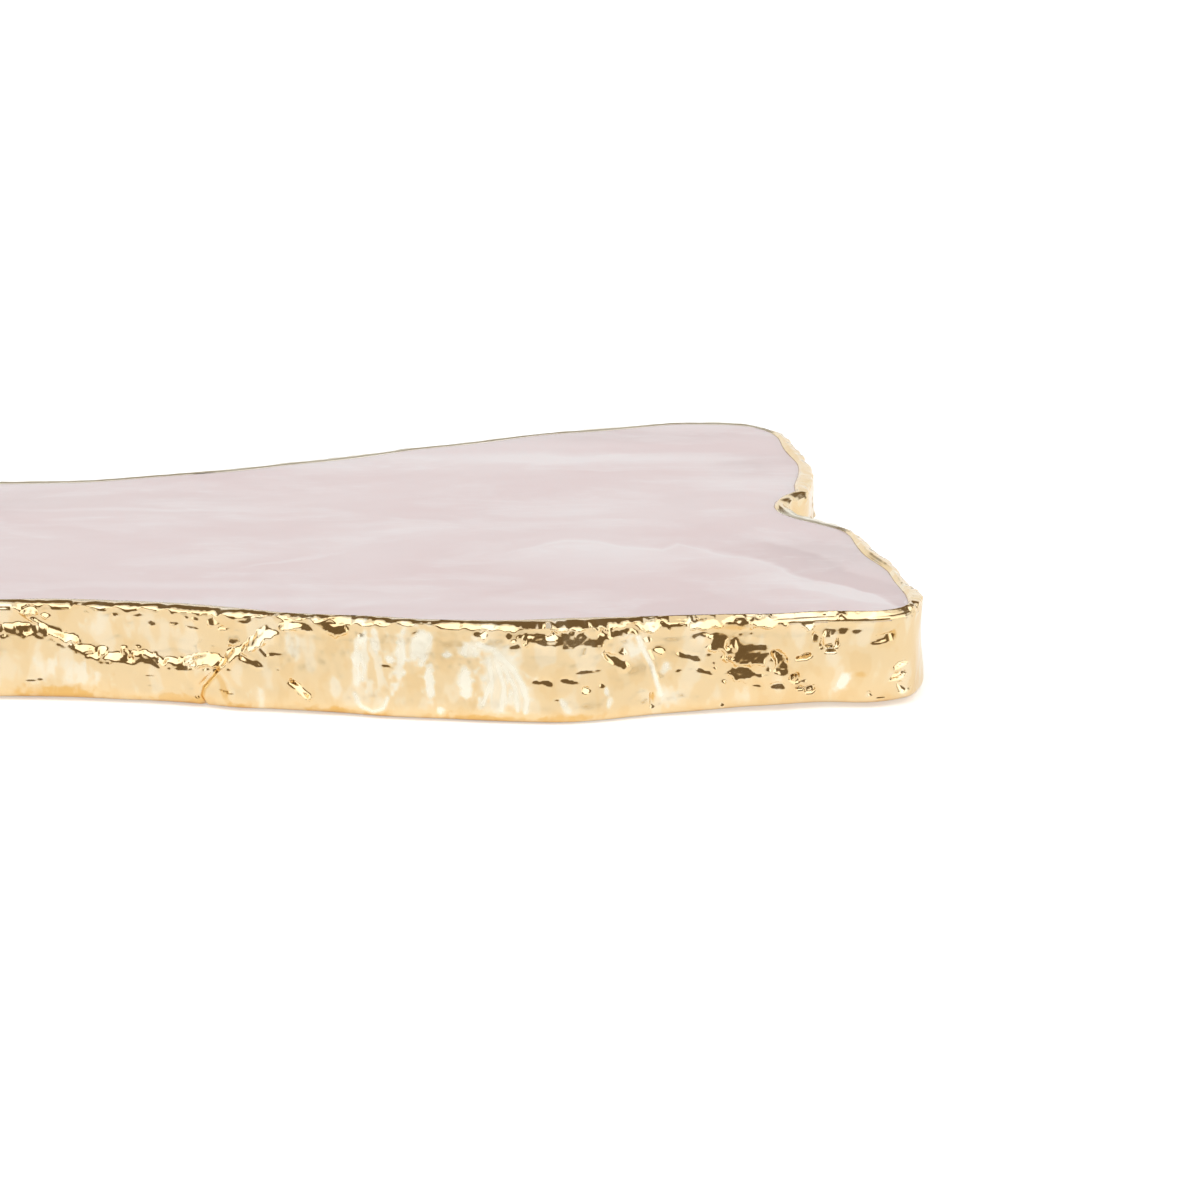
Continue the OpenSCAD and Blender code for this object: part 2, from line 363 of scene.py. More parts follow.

# %% [markdown]
# ## The stone: rose quartz
# Rose quartz is milky. Its pink is never even: whitish veils hang in it, most of them drawn out
# in one direction, and a few healed cracks show as pale edges. The colour is a mix of three
# stones, pink, milky and mauve. Noise alone would scatter the veils evenly, and a flat pattern
# wouldn't run through the stone, so both are mixed: noise gives the even part, and the veils
# that the eye notices are soft spots, listed as ellipses with a place, two half sizes and
# a turn.

# %% Rose quartz: its own noise
quartz = bpy.data.materials.new("rose_quartz")
quartz.use_nodes = True
slab_data.materials.append(quartz)
tree = quartz.node_tree
position = add_node(tree, "ShaderNodeTexCoord").outputs["Object"]
clouds = place_noise(tree, position, size=15, length=1.6, bend=0.8, seed=3.0)
veils = place_noise(tree, position, size=5.5, length=1.7, bend=1.4, seed=11.0)
threads = place_noise(tree, position, size=1.5, length=6.0, bend=1.5, seed=21.0)
specks = place_noise(tree, position, size=0.5, length=1.2, bend=0.0, seed=31.0)
thread_distance = calculate(tree, "ABSOLUTE", calculate(tree, "SUBTRACT", threads, 0.5))
thread_ridge = ramp(tree, thread_distance, 0.045, 0)
milky = calculate(tree, "MULTIPLY", ramp(tree, clouds, 0.36, 0.64), 0.4)
milky = calculate(tree, "MULTIPLY_ADD", ramp(tree, veils, 0.44, 0.66), 0.34, milky)
thread_cover = calculate(tree, "MULTIPLY", thread_ridge, ramp(tree, veils, 0.5, 0.6))
milky = calculate(tree, "MULTIPLY_ADD", thread_cover, 0.14, milky)
milky = calculate(tree, "MULTIPLY_ADD", ramp(tree, specks, 0.7, 0.76), 0.4, milky)
mauve = calculate(tree, "MULTIPLY", ramp(tree, clouds, 0.42, 0.28), 0.35)
mauve = calculate(tree, "MULTIPLY_ADD", ramp(tree, specks, 0.29, 0.25), 0.5, mauve)

# %% Rose quartz: listed veils
# The spots and the crack are bent by a noise of their own, so that none of them looks drawn.
bend_noise = noise_at(tree, position, 160.0, 3.0)["Color"]
centred = vector_step(tree, "SUBTRACT", {0: bend_noise, 1: (0.5, 0.5, 0.5)})[0]
bent_by = (4 * MM, 2 * MM, 0)
bent_position = vector_step(tree, "MULTIPLY_ADD", {0: centred, 1: bent_by, 2: position})[0]


def soft_spot(x, y, half_length, half_width, turn):
    """A soft ellipse on the stone: 1 in its middle, and 0 outside it."""
    placed = add_node(
        tree,
        "ShaderNodeMapping",
        {"vector_type": "TEXTURE"},
        {
            "Vector": bent_position,
            "Location": (x * MM, y * MM, 0),
            "Rotation": (0, 0, math.radians(turn)),
            "Scale": (half_length * MM, half_width * MM, 1.0),
        },
    )
    distance = vector_step(tree, "LENGTH", {0: placed.outputs[0]})["Value"]
    return ramp(tree, distance, 1.0, 0.1)


# X, Y, half length and half width in mm, turn in degrees, and strength.
milky_spots = [
    (-12, 2, 12, 0.8, 0, 0.35),
    (-6, -18, 20, 1.4, -1, 0.35),
    (1, -12, 6, 0.6, 31, 0.4),
    (10, -3, 9, 2.5, 5, 0.2),
    (20, 17, 18, 2.6, 0, 0.65),
    (31, 12, 4, 7, 0, 0.25),
    (39, -20, 5, 1.6, -42, 0.9),
    (22, -12, 9, 6, 0, 0.35),
    (26, 2, 12, 7, 0, 0.4),
    (6, -8, 12, 8, 0, 0.25),
    (2, 20, 6, 1.2, 15, 0.5),
    (4, -22, 22, 2, 0, 0.3),
]
mauve_spots = [
    (39, -10, 8, 5, -50, 0.8),
    (22, 24, 18, 3.4, 0, 0.75),
    (33, 14, 4, 6, 0, 0.45),
    (-20, 5, 9, 6, 0, 0.5),
    (-8, 4, 8, 5, 0, 0.25),
]
for *spot, strength in milky_spots:
    milky = calculate(tree, "MULTIPLY_ADD", soft_spot(*spot), strength, milky)
for *spot, strength in mauve_spots:
    mauve = calculate(tree, "MULTIPLY_ADD", soft_spot(*spot), strength, mauve)
print("the stone has", len(milky_spots) + len(mauve_spots), "veils set by hand")

# %% [markdown]
# One healed crack crosses the lobe. The stone in front of it is milky with a pale edge, and the
# stone behind it is mauve. A Float Curve holds its line: it turns a place along the face into
# the crack's place across it, and the distance from that line then chooses the stone.

# %% Rose quartz: the line of the healed crack
# Its points over the face, in mm.
crack_line = [
    (14, -12), (18, -7.5), (20, -6), (22, -6.5), (24, -8), (27, -9), (28.5, -7.5),
    (31, -10), (33, -11.5), (35, -14), (37, -16), (39, -18.5), (41, -21.5), (43, -24),
]
# The curve goes from 0 to 1 both ways, which stands for this far to each side of the middle.
curve_reach = 50
bent_axes = split(tree, bent_position)
face_ends = {"From Min": -curve_reach * MM, "From Max": curve_reach * MM}
along_face = add_node(tree, "ShaderNodeMapRange", sockets={"Value": bent_axes["X"], **face_ends})
crack_curve = tree.nodes.new("ShaderNodeFloatCurve")
crack_points = crack_curve.mapping.curves[0].points
for x, y in crack_line:
    share_x, share_y = ((side + curve_reach) / (2 * curve_reach) for side in (x, y))
    crack_points.new(share_x, share_y).handle_type = "VECTOR"
crack_curve.mapping.update()
tree.links.new(along_face.outputs["Result"], crack_curve.inputs["Value"])
crack_ends = {"To Min": -curve_reach * MM, "To Max": curve_reach * MM}
crack_y = add_node(
    tree, "ShaderNodeMapRange", sockets={"Value": crack_curve.outputs[0], **crack_ends}
).outputs["Result"]
behind_crack = calculate(tree, "SUBTRACT", bent_axes["Y"], crack_y)
print("the crack has", len(crack_line), "points")

# %% Rose quartz: the stone beside the crack
crack_reach = calculate(
    tree,
    "MULTIPLY",
    ramp(tree, bent_axes["X"], 14 * MM, 20 * MM),
    ramp(tree, bent_axes["X"], 46 * MM, 42 * MM),
)
crack_edge = ramp(tree, calculate(tree, "ABSOLUTE", behind_crack), 0.9 * MM, 0)
in_front = calculate(
    tree,
    "MULTIPLY",
    ramp(tree, behind_crack, 0.3 * MM, -0.3 * MM),
    ramp(tree, behind_crack, -8 * MM, 0),
)
pale_edge = calculate(tree, "MULTIPLY", crack_edge, 0.3)
crack_veil = calculate(tree, "MULTIPLY_ADD", in_front, 0.4, pale_edge)
milky = calculate(tree, "MULTIPLY_ADD", crack_veil, crack_reach, milky)
from_mauve_line = calculate(tree, "ABSOLUTE", calculate(tree, "SUBTRACT", behind_crack, 3 * MM))
behind_share = calculate(
    tree,
    "MULTIPLY",
    ramp(tree, bent_axes["X"], 29 * MM, 35 * MM),
    ramp(tree, from_mauve_line, 4 * MM, 2 * MM),
)
mauve = calculate(tree, "MULTIPLY_ADD", behind_share, 0.5, mauve)
milky = calculate(tree, "MULTIPLY_ADD", behind_share, -0.35, milky)

# %% Rose quartz: the material
shader = tree.nodes["Principled BSDF"]
pink_stone = (0.73, 0.57, 0.575, 1)
milky_stone = (0.82, 0.745, 0.755, 1)
mauve_stone = (0.61, 0.475, 0.48, 1)
stone_colour = mix_colours(tree, mauve, pink_stone, mauve_stone)
stone_colour = mix_colours(tree, milky, stone_colour, milky_stone)
tree.links.new(stone_colour, shader.inputs["Base Color"])
tree.links.new(ramp(tree, veils, 0.3, 0.7, 0.07, 0.14), shader.inputs["Roughness"])
shader.inputs["IOR"].default_value = 1.54
shader.inputs["Subsurface Weight"].default_value = 0.25
shader.inputs["Subsurface Radius"].default_value = (1.0, 0.7, 0.65)
shader.inputs["Subsurface Scale"].default_value = 2.5 * MM
polish = add_node(
    tree,
    "ShaderNodeBump",
    sockets={
        "Strength": 0.15,
        "Distance": 0.05 * MM,
        "Height": place_noise(tree, position, size=4, length=1.0, bend=0.5, seed=41.0),
    },
)
tree.links.new(polish.outputs[0], shader.inputs["Normal"])
print("the stone's finish has", len(tree.nodes), "nodes")

# %% [markdown]
# ## The band: a finer mesh
# The real band is grown on the broken edge atom by atom, so it follows every chip of the stone,
# and on top of that it is crumpled like foil. The construction model has only its main form, in
# facets of about a millimetre. So the band is copied, its triangles are joined to quads again,
# and the quads outside are cut fine enough to carry real relief. The quads inside, against the
# stone, stay large, and so the piece stays light.

# %% Copy the band as quads
band_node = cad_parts["gold_edge_band"]
band = bmesh.new()
band.from_mesh(band_node.data)
bmesh.ops.remove_doubles(band, verts=band.verts[:], dist=merge_distance)
bmesh.ops.join_triangles(
    band, faces=band.faces[:], angle_face_threshold=math.pi, angle_shape_threshold=math.pi
)

stone_copy = bmesh.new()
stone_copy.from_mesh(stone_node.data)
stone_surface = bvhtree.BVHTree.FromBMesh(stone_copy)
stone_copy.free()

# A face further from the stone than this belongs to the outside of the band.
outside_gap = 0.14 * MM
INSIDE, OUTSIDE = 0, 1
for face in band.faces:
    gap = stone_surface.find_nearest(face.calc_center_median())[3]
    face.material_index = OUTSIDE if gap > outside_gap else INSIDE
outside_count = sum(face.material_index == OUTSIDE for face in band.faces)
print("band of", len(band.faces), "quads, of which", outside_count, "show")


# %% Runs of edges
# A quad grid is cut by its runs: the edges met by stepping from quad to quad straight across.
def next_quad(face, edge):
    """The quad on the other side of an edge."""
    return next((other for other in edge.link_faces if other != face), None)


def edge_run(edge, face):
    """The edges met from this one on, until the quads outside end or the run comes back."""
    run = [edge]
    while face is not None and face.material_index == OUTSIDE:
        corner = next(loop for loop in face.loops if loop.edge == edge)
        edge = corner.link_loop_next.link_loop_next.edge
        if edge == run[0]:
            break
        run.append(edge)
        face = next_quad(face, edge)
    return run


def on_rim(edge):
    """True for an edge where the outside of the band meets its inside."""
    return sum(face.material_index for face in edge.link_faces) == INSIDE + OUTSIDE


def quad_outside(edge):
    """The quad beside an edge of the rim that belongs to the outside of the band."""
    return next(face for face in edge.link_faces if face.material_index == OUTSIDE)


first_rim = max(filter(on_rim, band.edges), key=lambda edge: edge.verts[0].co.z)
rows = []
quad = quad_outside(first_rim)
for edge in edge_run(first_rim, quad)[1:]:
    side = next(other for other in quad.edges
                if len(set(other.verts) & set(edge.verts)) == 1)
    rows.append(edge_run(side, quad))
    quad = next_quad(quad, edge)
print("the outside has", len(rows), "rows of", len(rows[0]), "quads")

# %% [markdown]
# Every point of the grid is told its place in it before the cuts: how far it lies round the
# band, and how far across it. Cutting an edge fills in both for the new points. The place
# round the band is kept as a point on a circle, so that it has no jump where the band closes.

# %% Places in the grid
cosine = band.verts.layers.float.new("around_cosine")
sine = band.verts.layers.float.new("around_sine")
across = band.verts.layers.float.new("across")
NOT_OUTSIDE = -1.0
whole_turn = 2 * math.pi
for vert in band.verts:
    vert[across] = NOT_OUTSIDE
crossing = [{vert: edge for edge in row for vert in edge.verts} for row in rows]
for count, edge in enumerate(rows[0]):
    angle = whole_turn * count / len(rows[0])
    vert = next(end for end in edge.verts if any(on_rim(other) for other in end.link_edges))
    for level in range(len(rows) + 1):
        vert[cosine] = math.cos(angle)
        vert[sine] = math.sin(angle)
        vert[across] = level
        if level < len(rows):
            vert = crossing[level][vert].other_vert(vert)
print("the grid has", len(rows[0]), "places round the band and", len(rows) + 1, "across it")

# %% [markdown]
# The rows are cut first, then the columns. The front wall, which carries the finest chips, gets
# points a tenth of a millimetre apart. The flat laps and the back need fewer.

# %% Cut the band
wall_spacing = 0.1 * MM
lap_spacing = 0.2 * MM
front_spacing = 0.1 * MM
end_spacing = 0.21 * MM
back_spacing = 0.45 * MM
# The front that gets fine points starts here, near the waist, and lies in front of the rest.
front_start_x = -18.5 * MM
front_y = 0.6 * cad_low.y
lobes_x = 0.75 * cad_high.x
lap_steepness = 0.9


def across_spacing(run):
    """Fine on the wall, coarse on the two laps."""
    faces = [face for edge in run for face in edge.link_faces]
    steepness = sum(abs(face.normal.z) for face in faces) / len(faces)
    return lap_spacing if steepness > lap_steepness else wall_spacing


def along_spacing(run):
    """Fine along the front, coarser round the lobes' ends, coarsest at the back."""
    middle = sum((vert.co for edge in run for vert in edge.verts), Vector()) / (2 * len(run))
    if middle.x > front_start_x and middle.y < front_y:
        return front_spacing
    return end_spacing if middle.x > lobes_x else back_spacing


def cut_runs(runs, spacing):
    """Cuts every run of edges into pieces of about the spacing that is given for it."""
    by_count = {}
    for run in runs:
        length = sum(edge.calc_length() for edge in run) / len(run)
        count = max(1, round(length / spacing(run)))
        by_count.setdefault(count, []).extend(run)
    for count, edges in by_count.items():
        if count > 1:
            bmesh.ops.subdivide_edges(band, edges=edges, cuts=count - 1, use_grid_fill=True)


cut_runs(rows, across_spacing)
top_rim = [edge for edge in band.edges if on_rim(edge) and edge.verts[0].co.z > cad_high.z / 2]
columns = [edge_run(edge, quad_outside(edge)) for edge in top_rim]
cut_runs(columns, along_spacing)
triangles = sum(len(face.verts) - 2 for face in band.faces)
print("the cut band has", triangles, "triangles")

# %% Read the grid
# Equal places are found by rounding. A hair is added to the angles first, so that the points of
# the first place don't fall on both sides of zero.
hair, digits = 1e-4, 4
around_of = np.array([math.atan2(vert[sine], vert[cosine]) for vert in band.verts])
across_of = np.array([vert[across] for vert in band.verts])
outside_points = np.nonzero(across_of > NOT_OUTSIDE / 2)[0]
turn_angles = np.round(np.mod(around_of[outside_points] + hair, whole_turn), digits)
turn_places, turn_of = np.unique(turn_angles, return_inverse=True)
outside_levels = np.round(across_of[outside_points], digits)
level_places, level_of = np.unique(outside_levels, return_inverse=True)
grid_shape = (len(turn_places), len(level_places))
grid = np.full(grid_shape, -1)
grid[turn_of, level_of] = outside_points
print("the grid has", grid_shape, "points, missing", int((grid < 0).sum()))

# %% Back to a plain mesh
for face in band.faces:
    face.material_index = 0
    face.smooth = True
for layer_name in ("around_cosine", "around_sine", "across"):
    band.verts.layers.float.remove(band.verts.layers.float[layer_name])
edge_data = bpy.data.meshes.new("gilded_edge")
band.to_mesh(edge_data)
band.free()
all_places = np.zeros(len(edge_data.vertices) * 3)
edge_data.vertices.foreach_get("co", all_places)
all_places = all_places.reshape(-1, 3) / MM
place = all_places[grid]
print("the band's mesh has", len(all_places), "points, of which", grid.size, "in the grid")

# %% [markdown]
# ## The band: its outline and its wall
# With the points in a grid, the band is one array with a row for each place round it, and it can
# be smoothed and reshaped with numpy. Everything in this part is in millimetres. Each point is
# described by how far it stands out from the outline, and by how high it is.

# %% Helpers for the grid
def soften_round(values, rounds):
    """Averages each value with its neighbours round the band."""
    for step in range(rounds):
        values = (np.roll(values, 1, 0) + 2 * values + np.roll(values, -1, 0)) / 4
    return values


def soften_across(values, rounds):
    """Averages each value with its neighbours across the band, with both rims kept."""
    for step in range(rounds):
        values = values.copy()
        values[:, 1:-1] = (values[:, :-2] + 2 * values[:, 1:-1] + values[:, 2:]) / 4
    return values


def soft_step(value, start, end):
    """Goes smoothly from 0 to 1 while the value goes from start to end."""
    share = np.clip((value - start) / (end - start), 0, 1)
    return share * share * (3 - 2 * share)


def at_every_level(values):
    """One value for each place round the band, repeated all the way across it."""
    return np.repeat(values[:, None], grid_shape[1], 1)


def at_level(level):
    """How far the band stands out at one place across it, for every point."""
    return at_every_level(stands_out[:, np.searchsorted(level_places, level)])


# %% Smooth the facets
rims = place[:, [0, -1]].copy()
place = soften_across(soften_round(place, 14), 8)
place[:, [0, -1]] = rims

# %% Outline and outward direction
low_corner = np.array(cad_low) / MM
high_corner = np.array(cad_high) / MM
thickness = high_corner[2]
height = place[:, :, 2].copy()
# The outline is where the middle of the wall runs, this far from both faces.
from_faces = 2
mean_height = height.mean(0)
wall_levels = np.nonzero((mean_height > from_faces) & (mean_height < thickness - from_faces))[0]
outline = soften_round(place[:, wall_levels, :2].mean(1), 6)
steps = np.roll(outline, -1, 0) - np.roll(outline, 1, 0)
steps /= np.linalg.norm(steps, axis=1)[:, None]
outward = np.stack([steps[:, 1], -steps[:, 0]], 1)
if (outward * (outline - outline.mean(0))).sum() < 0:
    outward = -outward
as_built = ((place[:, :, :2] - outline[:, None]) * outward[:, None]).sum(2)
aside = place[:, :, :2] - outline[:, None] - outward[:, None] * as_built[:, :, None]
stands_out = as_built.copy()
lengths = np.linalg.norm(np.roll(outline, -1, 0) - outline, axis=1)
edge_length = lengths.sum()
along_edge = at_every_level(np.concatenate([[0], np.cumsum(lengths)[:-1]]))
# The stone lies a little more than this inside the construction model's skin.
deepest_chip = 0.22
deepest = stands_out - deepest_chip
print("the outline is", round(float(edge_length), 1), "mm long")

# %% Shares of the edge
# Most marks are placed by their distance from the lobe's end, along X, on the front only.
from_lobe = high_corner[0] - place[:, :, 0]
front_line = soft_step(-outward[:, 1], 0.2, 0.6) * soft_step(outline[:, 1], -3, -7)
front_share = at_every_level(front_line)
# Places across the band in the construction model's rows: the two ends of its upper turn, and of
# its lower one.
LAP, TURN_TOP, WALL_TOP, WALL_FOOT, TURN_FOOT = 1, 2, 4, 8, 10
levels = np.repeat(level_places[None, :], grid_shape[0], 0)
print("the front is", round(float(lengths[front_line > 0.5].sum()), 1), "mm long")

# %% [markdown]
# The stone's edge leans in and out, but the plating builds up most on what stands proud, so the
# finished wall is nearly upright. At the top it turns over in two narrow slopes: a steep one,
# which catches the white soft box, and a nearly flat one, which shows the dark behind the stone.

# %% Upright wall
proud, upright_at_back, most_set_back = 0.04, 0.4, 0.36
middle = (levels > WALL_TOP + 0.5) & (levels < WALL_FOOT - 0.5)
forward_line = soften_round(np.where(middle, stands_out, -9).max(1), 30)[:, None] + proud
keep_lean = 0.25 * soft_step(levels, 6, 8)
upright_share = soft_step(levels, TURN_TOP, WALL_TOP) * soft_step(levels, TURN_FOOT, WALL_FOOT)
upright_share *= upright_at_back + (1 - upright_at_back) * front_share
stands_out += (forward_line - stands_out) * upright_share * (1 - keep_lean)
# Towards its top the wall leans back very gently, so that the lap above it stays narrow.
set_back = np.clip(forward_line - at_level(TURN_TOP), 0, 1)
lean_back = np.minimum(0.6 * set_back, most_set_back)
lean_back *= 1 - 0.7 * soft_step(from_lobe, 44, 48)
lean_back *= np.clip((height - 1) / (thickness - 1.4), 0, 1)
stands_out -= lean_back * upright_share
stands_out = soften_across(soften_round(stands_out, 3), 4)

# %% Upper turn: its widths
# The turn is narrow on the left and wide on the lobe. Distance from the lobe's end, width.
turn_widths = [
    (0, 1.5),
    (1.2, 2.1),
    (4.4, 1.9),
    (5.4, 0.9),
    (8, 1.4),
    (17, 1.5),
    (19, 1.2),
    (24, 0.8),
    (30, 0.6),
    (45, 0.7),
    (80, 0.8),
]


def along_front(table, column):
    """A column of a table, read at every point's distance from the lobe's end."""
    ordered = sorted(table)
    return np.interp(from_lobe, [row[0] for row in ordered], [row[column] for row in ordered])


dashes = np.array([
    noise.fractal(Vector((run / 1.1, 4.5, 0.3)), 1.0, 2.1, 3) for run in along_edge[:, 0]
])
dashes = soften_round(dashes, 2)[:, None]
table_widths = 1 + (along_front(turn_widths, 1) - 1) * front_share
dash_widths = np.clip(0.9 + (1 + 1.4 * front_share) * dashes, 0.12, 1.7)
lap_start, wall_out = at_level(LAP), at_level(WALL_TOP + 0.5)
lap_width = np.maximum(wall_out - lap_start, 0.25)
turn_width = np.minimum(0.3 * (table_widths * dash_widths), 0.7 * lap_width)
widest_slope = 0.4 + 0.9 * soft_step(from_lobe, 31, 28)
slope_width = np.clip(lap_width - turn_width - 0.1, 0.4, widest_slope)
slope_drop = np.maximum(0.08, 0.15 * slope_width)
print("the turn is", turn_width.min().round(2), "to", turn_width.max().round(2), "mm wide")

# %% Upper turn: its profile
# The lap is flat and then slopes gently, and the turn is steep and then steeper. Each corner of
# this profile has a place across the band, a distance outwards and a depth below the top.
slope_start, turn_middle, turn_end = 1.4, 3, 5
lap_depth = 0.03
turn_depth = lap_depth + slope_drop
profile = [
    (LAP, lap_start, 0.02),
    (slope_start, np.maximum(lap_start + 0.03, wall_out - turn_width - slope_width), lap_depth),
    (TURN_TOP, wall_out - turn_width, turn_depth),
    (turn_middle, wall_out - 0.43 * turn_width, turn_depth + 0.55 * turn_width),
    (WALL_TOP, wall_out, turn_depth + 1.15 * turn_width),
    (turn_end, wall_out, 1.75),
]
near_rim = (levels >= LAP) & (levels < turn_end)
turn_out, turn_height = stands_out.copy(), height.copy()
for (start, start_out, start_depth), (end, end_out, end_depth) in zip(profile, profile[1:]):
    here = (levels >= start) & (levels < end)
    part = (levels - start) / (end - start)
    turn_out = np.where(here, start_out + (end_out - start_out) * part, turn_out)
    depth_drop = (end_depth - start_depth) * part
    turn_height = np.where(here, thickness - start_depth - depth_drop, turn_height)
stands_out += (turn_out - stands_out) * near_rim * soft_step(levels, turn_end, WALL_TOP)
height += (turn_height - height) * near_rim
deepest = np.minimum(deepest, stands_out - 0.02)

# %% [markdown]
# The rest of the relief is noise of several sizes: a slow swell, a crumple as in foil, a fine
# ripple, and flutes that run up the wall. A bump map could show them, but then the silhouette
# would stay smooth and the mesh plain, so here the points themselves are moved. Each
# noise is worked out once for the whole grid, and used wherever it is needed.


# %% Noise over the band
def natural(scale, octaves, seed, stretch=1.0):
    """Noise over the band, for features of about this size in millimetres, stretched upwards."""
    shift = Vector((seed * 17.3, seed * 5.1, seed * 9.7))
    flat = np.dstack([place[:, :, :2], height / stretch]).reshape(-1, 3) / scale
    values = [noise.fractal(Vector(point) + shift, 1.0, 2.1, octaves) for point in flat]
    return np.array(values).reshape(grid_shape)


on_wall = soft_step(levels, LAP, WALL_TOP) * soft_step(levels, TURN_FOOT, WALL_FOOT)
swell = natural(3.4, 1, 1)
crumple = natural(1.3, 2, 2)
ripple = natural(0.42, 2, 3)
flutes = natural(0.5, 3, 5, stretch=4.0)
patches = natural(3.0, 1, 4)
outline_noise = natural(0.55, 2, 7)
print("six noises at", grid.size, "points each")

# %% [markdown]
# ## The band: the large flake scar
# Left of the middle a large flake has been struck off the upper half of the edge. Its hollow
# steps back from the wall. The line of the step is given by points from left to right. The metal
# turns up gently there, which shows dark in polished gold, and then steeply, which shows white.

# %% Large flake scar
# Distance from the lobe's end, height of the step, width of its gentle part.
scar_rim = [
    (75.0, 6.0, 0.2),
    (66.0, 4.8, 0.2),
    (61.6, 4.5, 0.3),
    (59.1, 4.4, 0.25),
    (58.2, 4.1, 0.4),
    (57.2, 3.5, 0.5),
    (56.6, 3.35, 0.2),
    (55.7, 3.0, 0.2),
    (54.8, 2.8, 0.25),
    (53.7, 2.9, 0.5),
    (52.1, 2.85, 0.6),
    (51.0, 2.5, 0.5),
    (49.8, 2.55, 0.3),
    (48.8, 3.1, 0.1),
    (47.7, 2.5, 0.1),
    (47.1, 2.9, 0.1),
    (46.1, 3.75, 0.1),
    (45.2, 4.4, 0.1),
    (44.3, 5.4, 0.1),
    (43.0, 6.4, 0.1),
    (41.0, 6.8, 0.1),
]
scar_back = 0.42
gentle_slope = 0.3
steep_slope = 0.8
above_rim = height - along_front(scar_rim, 1) - 0.3 * outline_noise - 0.1 * crumple
gentle_width = along_front(scar_rim, 2) * (1 + 1.2 * ripple)
hollow = np.maximum(
    gentle_slope * above_rim,
    gentle_slope * gentle_width + steep_slope * (above_rim - gentle_width),
)
hollow = np.clip(hollow, 0, scar_back)
in_scar = soft_step(from_lobe, 43.0, 45.0) * soft_step(from_lobe, 78, 66)
below_turn = soft_step(levels, TURN_TOP, WALL_TOP + 0.5)
# The whole wall bulges a little here, and the hollow steps back from that.
stands_out += 0.18 * in_scar * on_wall * front_share
stands_out -= hollow * in_scar * front_share * (0.35 + 0.65 * below_turn)
# The hollow comes back out a little towards the top, so that it is concave.
stands_out += 0.08 * soft_step(height, 4.6, 6.3) * in_scar * front_share * on_wall
beside_step = np.exp(-((above_rim - 0.25) / 0.32) ** 2) * in_scar
print("the scar's step is cut by", round(float((hollow * in_scar * front_share).max()), 2), "mm")

# %% Natural relief
# The wall is calm in some places and rough in others, and fluted from blows on the middle.
where_rough = soft_step(patches, 0.0, 0.35)
calm_middle = soft_step(from_lobe, 25, 28) * soft_step(from_lobe, 43, 40)
relief = 0.1 * swell + (0.03 + 0.025 * where_rough) * crumple
relief *= 1 - 0.55 * calm_middle
relief += (0.002 + 0.008 * where_rough + 0.035 * beside_step) * ripple
fluted = soft_step(from_lobe, 26, 28) * soft_step(from_lobe, 45, 42) + 0.4 * in_scar
relief += 0.04 * fluted * flutes
stands_out += relief * on_wall
with np.errstate(divide="ignore", invalid="ignore"):
    tilts = np.degrees(np.arctan(-np.diff(stands_out, axis=1) / np.diff(height, axis=1)))
front_tilts = tilts[(front_share > 0.9)[:, 1:] & (on_wall > 0.9)[:, 1:]]
print("the front wall faces up by, 10th, 50th and 90th in 100:",
      np.nanpercentile(front_tilts, [10, 50, 90]).round(1), "degrees")

# %% [markdown]
# ## The band: listed chips and marks
# A chip is a small flat place in the wall, at its own angle. What it shows is a matter of that
# angle alone: one that faces up a little shows the dark room behind the camera, and one that
# faces up more shows the white soft box above it. So each chip states its angle.

# %% Shapes of the marks
DARK, BRIGHT = 15, 37
# How much the noise bends the rim of a mark.
rim_noise = 0.55


def mark_distance(beside, at_height, half_length, half_height, turn):
    """Distance from a mark's middle, where 1 is about its rim."""
    up = height - at_height
    angle = math.radians(turn)
    along = beside * math.cos(angle) + up * math.sin(angle)
    upward = up * math.cos(angle) - beside * math.sin(angle)
    distance = np.sqrt((along / half_length) ** 2 + (upward / half_height) ** 2)
    return distance + rim_noise * outline_noise * distance


def cut_facet(beside, at_height, half_length, half_height, turn, tilt, share, most_raised=0.45):
    """Cuts a flat place into the wall, facing up by an angle in degrees."""
    distance = mark_distance(beside, at_height, half_length, half_height, turn)
    inside = soft_step(distance, 1.15, 0.85) * share
    if inside.max() < 0.5:
        return
    # The facet is as deep as the wall is on average round its middle.
    weights = soft_step(distance, 1.0, 0.3) * (levels > WALL_TOP) + 1e-9
    level = np.average(stands_out, weights=weights)
    # A short slope is rounded off by the mesh, so it is made steeper. The plane is set by height
    # alone, so the low end of a long, turned facet stands out of the wall as a sharp point.
    slope = math.tan(math.radians(tilt)) * (1 + 0.07 / half_height)
    plane = level - slope * (height - at_height)
    # A facet that would reach the stone is moved outwards, but not by more than most_raised.
    plane += np.clip(((deepest - plane) * (inside > 0.5)).max(), 0, most_raised)
    stands_out[:] += (plane - stands_out) * inside


def raise_bump(beside, at_height, half_length, half_height, turn, rise, share):
    """A rounded bump, or a dent where the rise is negative."""
    distance = mark_distance(beside, at_height, half_length, half_height, turn)
    stands_out[:] += rise * np.clip(1 - distance**2, 0, 1) ** 2 * share


def add_facet(from_end, *shape):
    """Cuts a facet into the front, at a distance from the lobe's end."""
    cut_facet(from_end - from_lobe, *shape, front_share)


def add_bump(from_end, *shape):
    """Raises a bump on the front, at a distance from the lobe's end."""
    raise_bump(from_end - from_lobe, *shape, front_share)


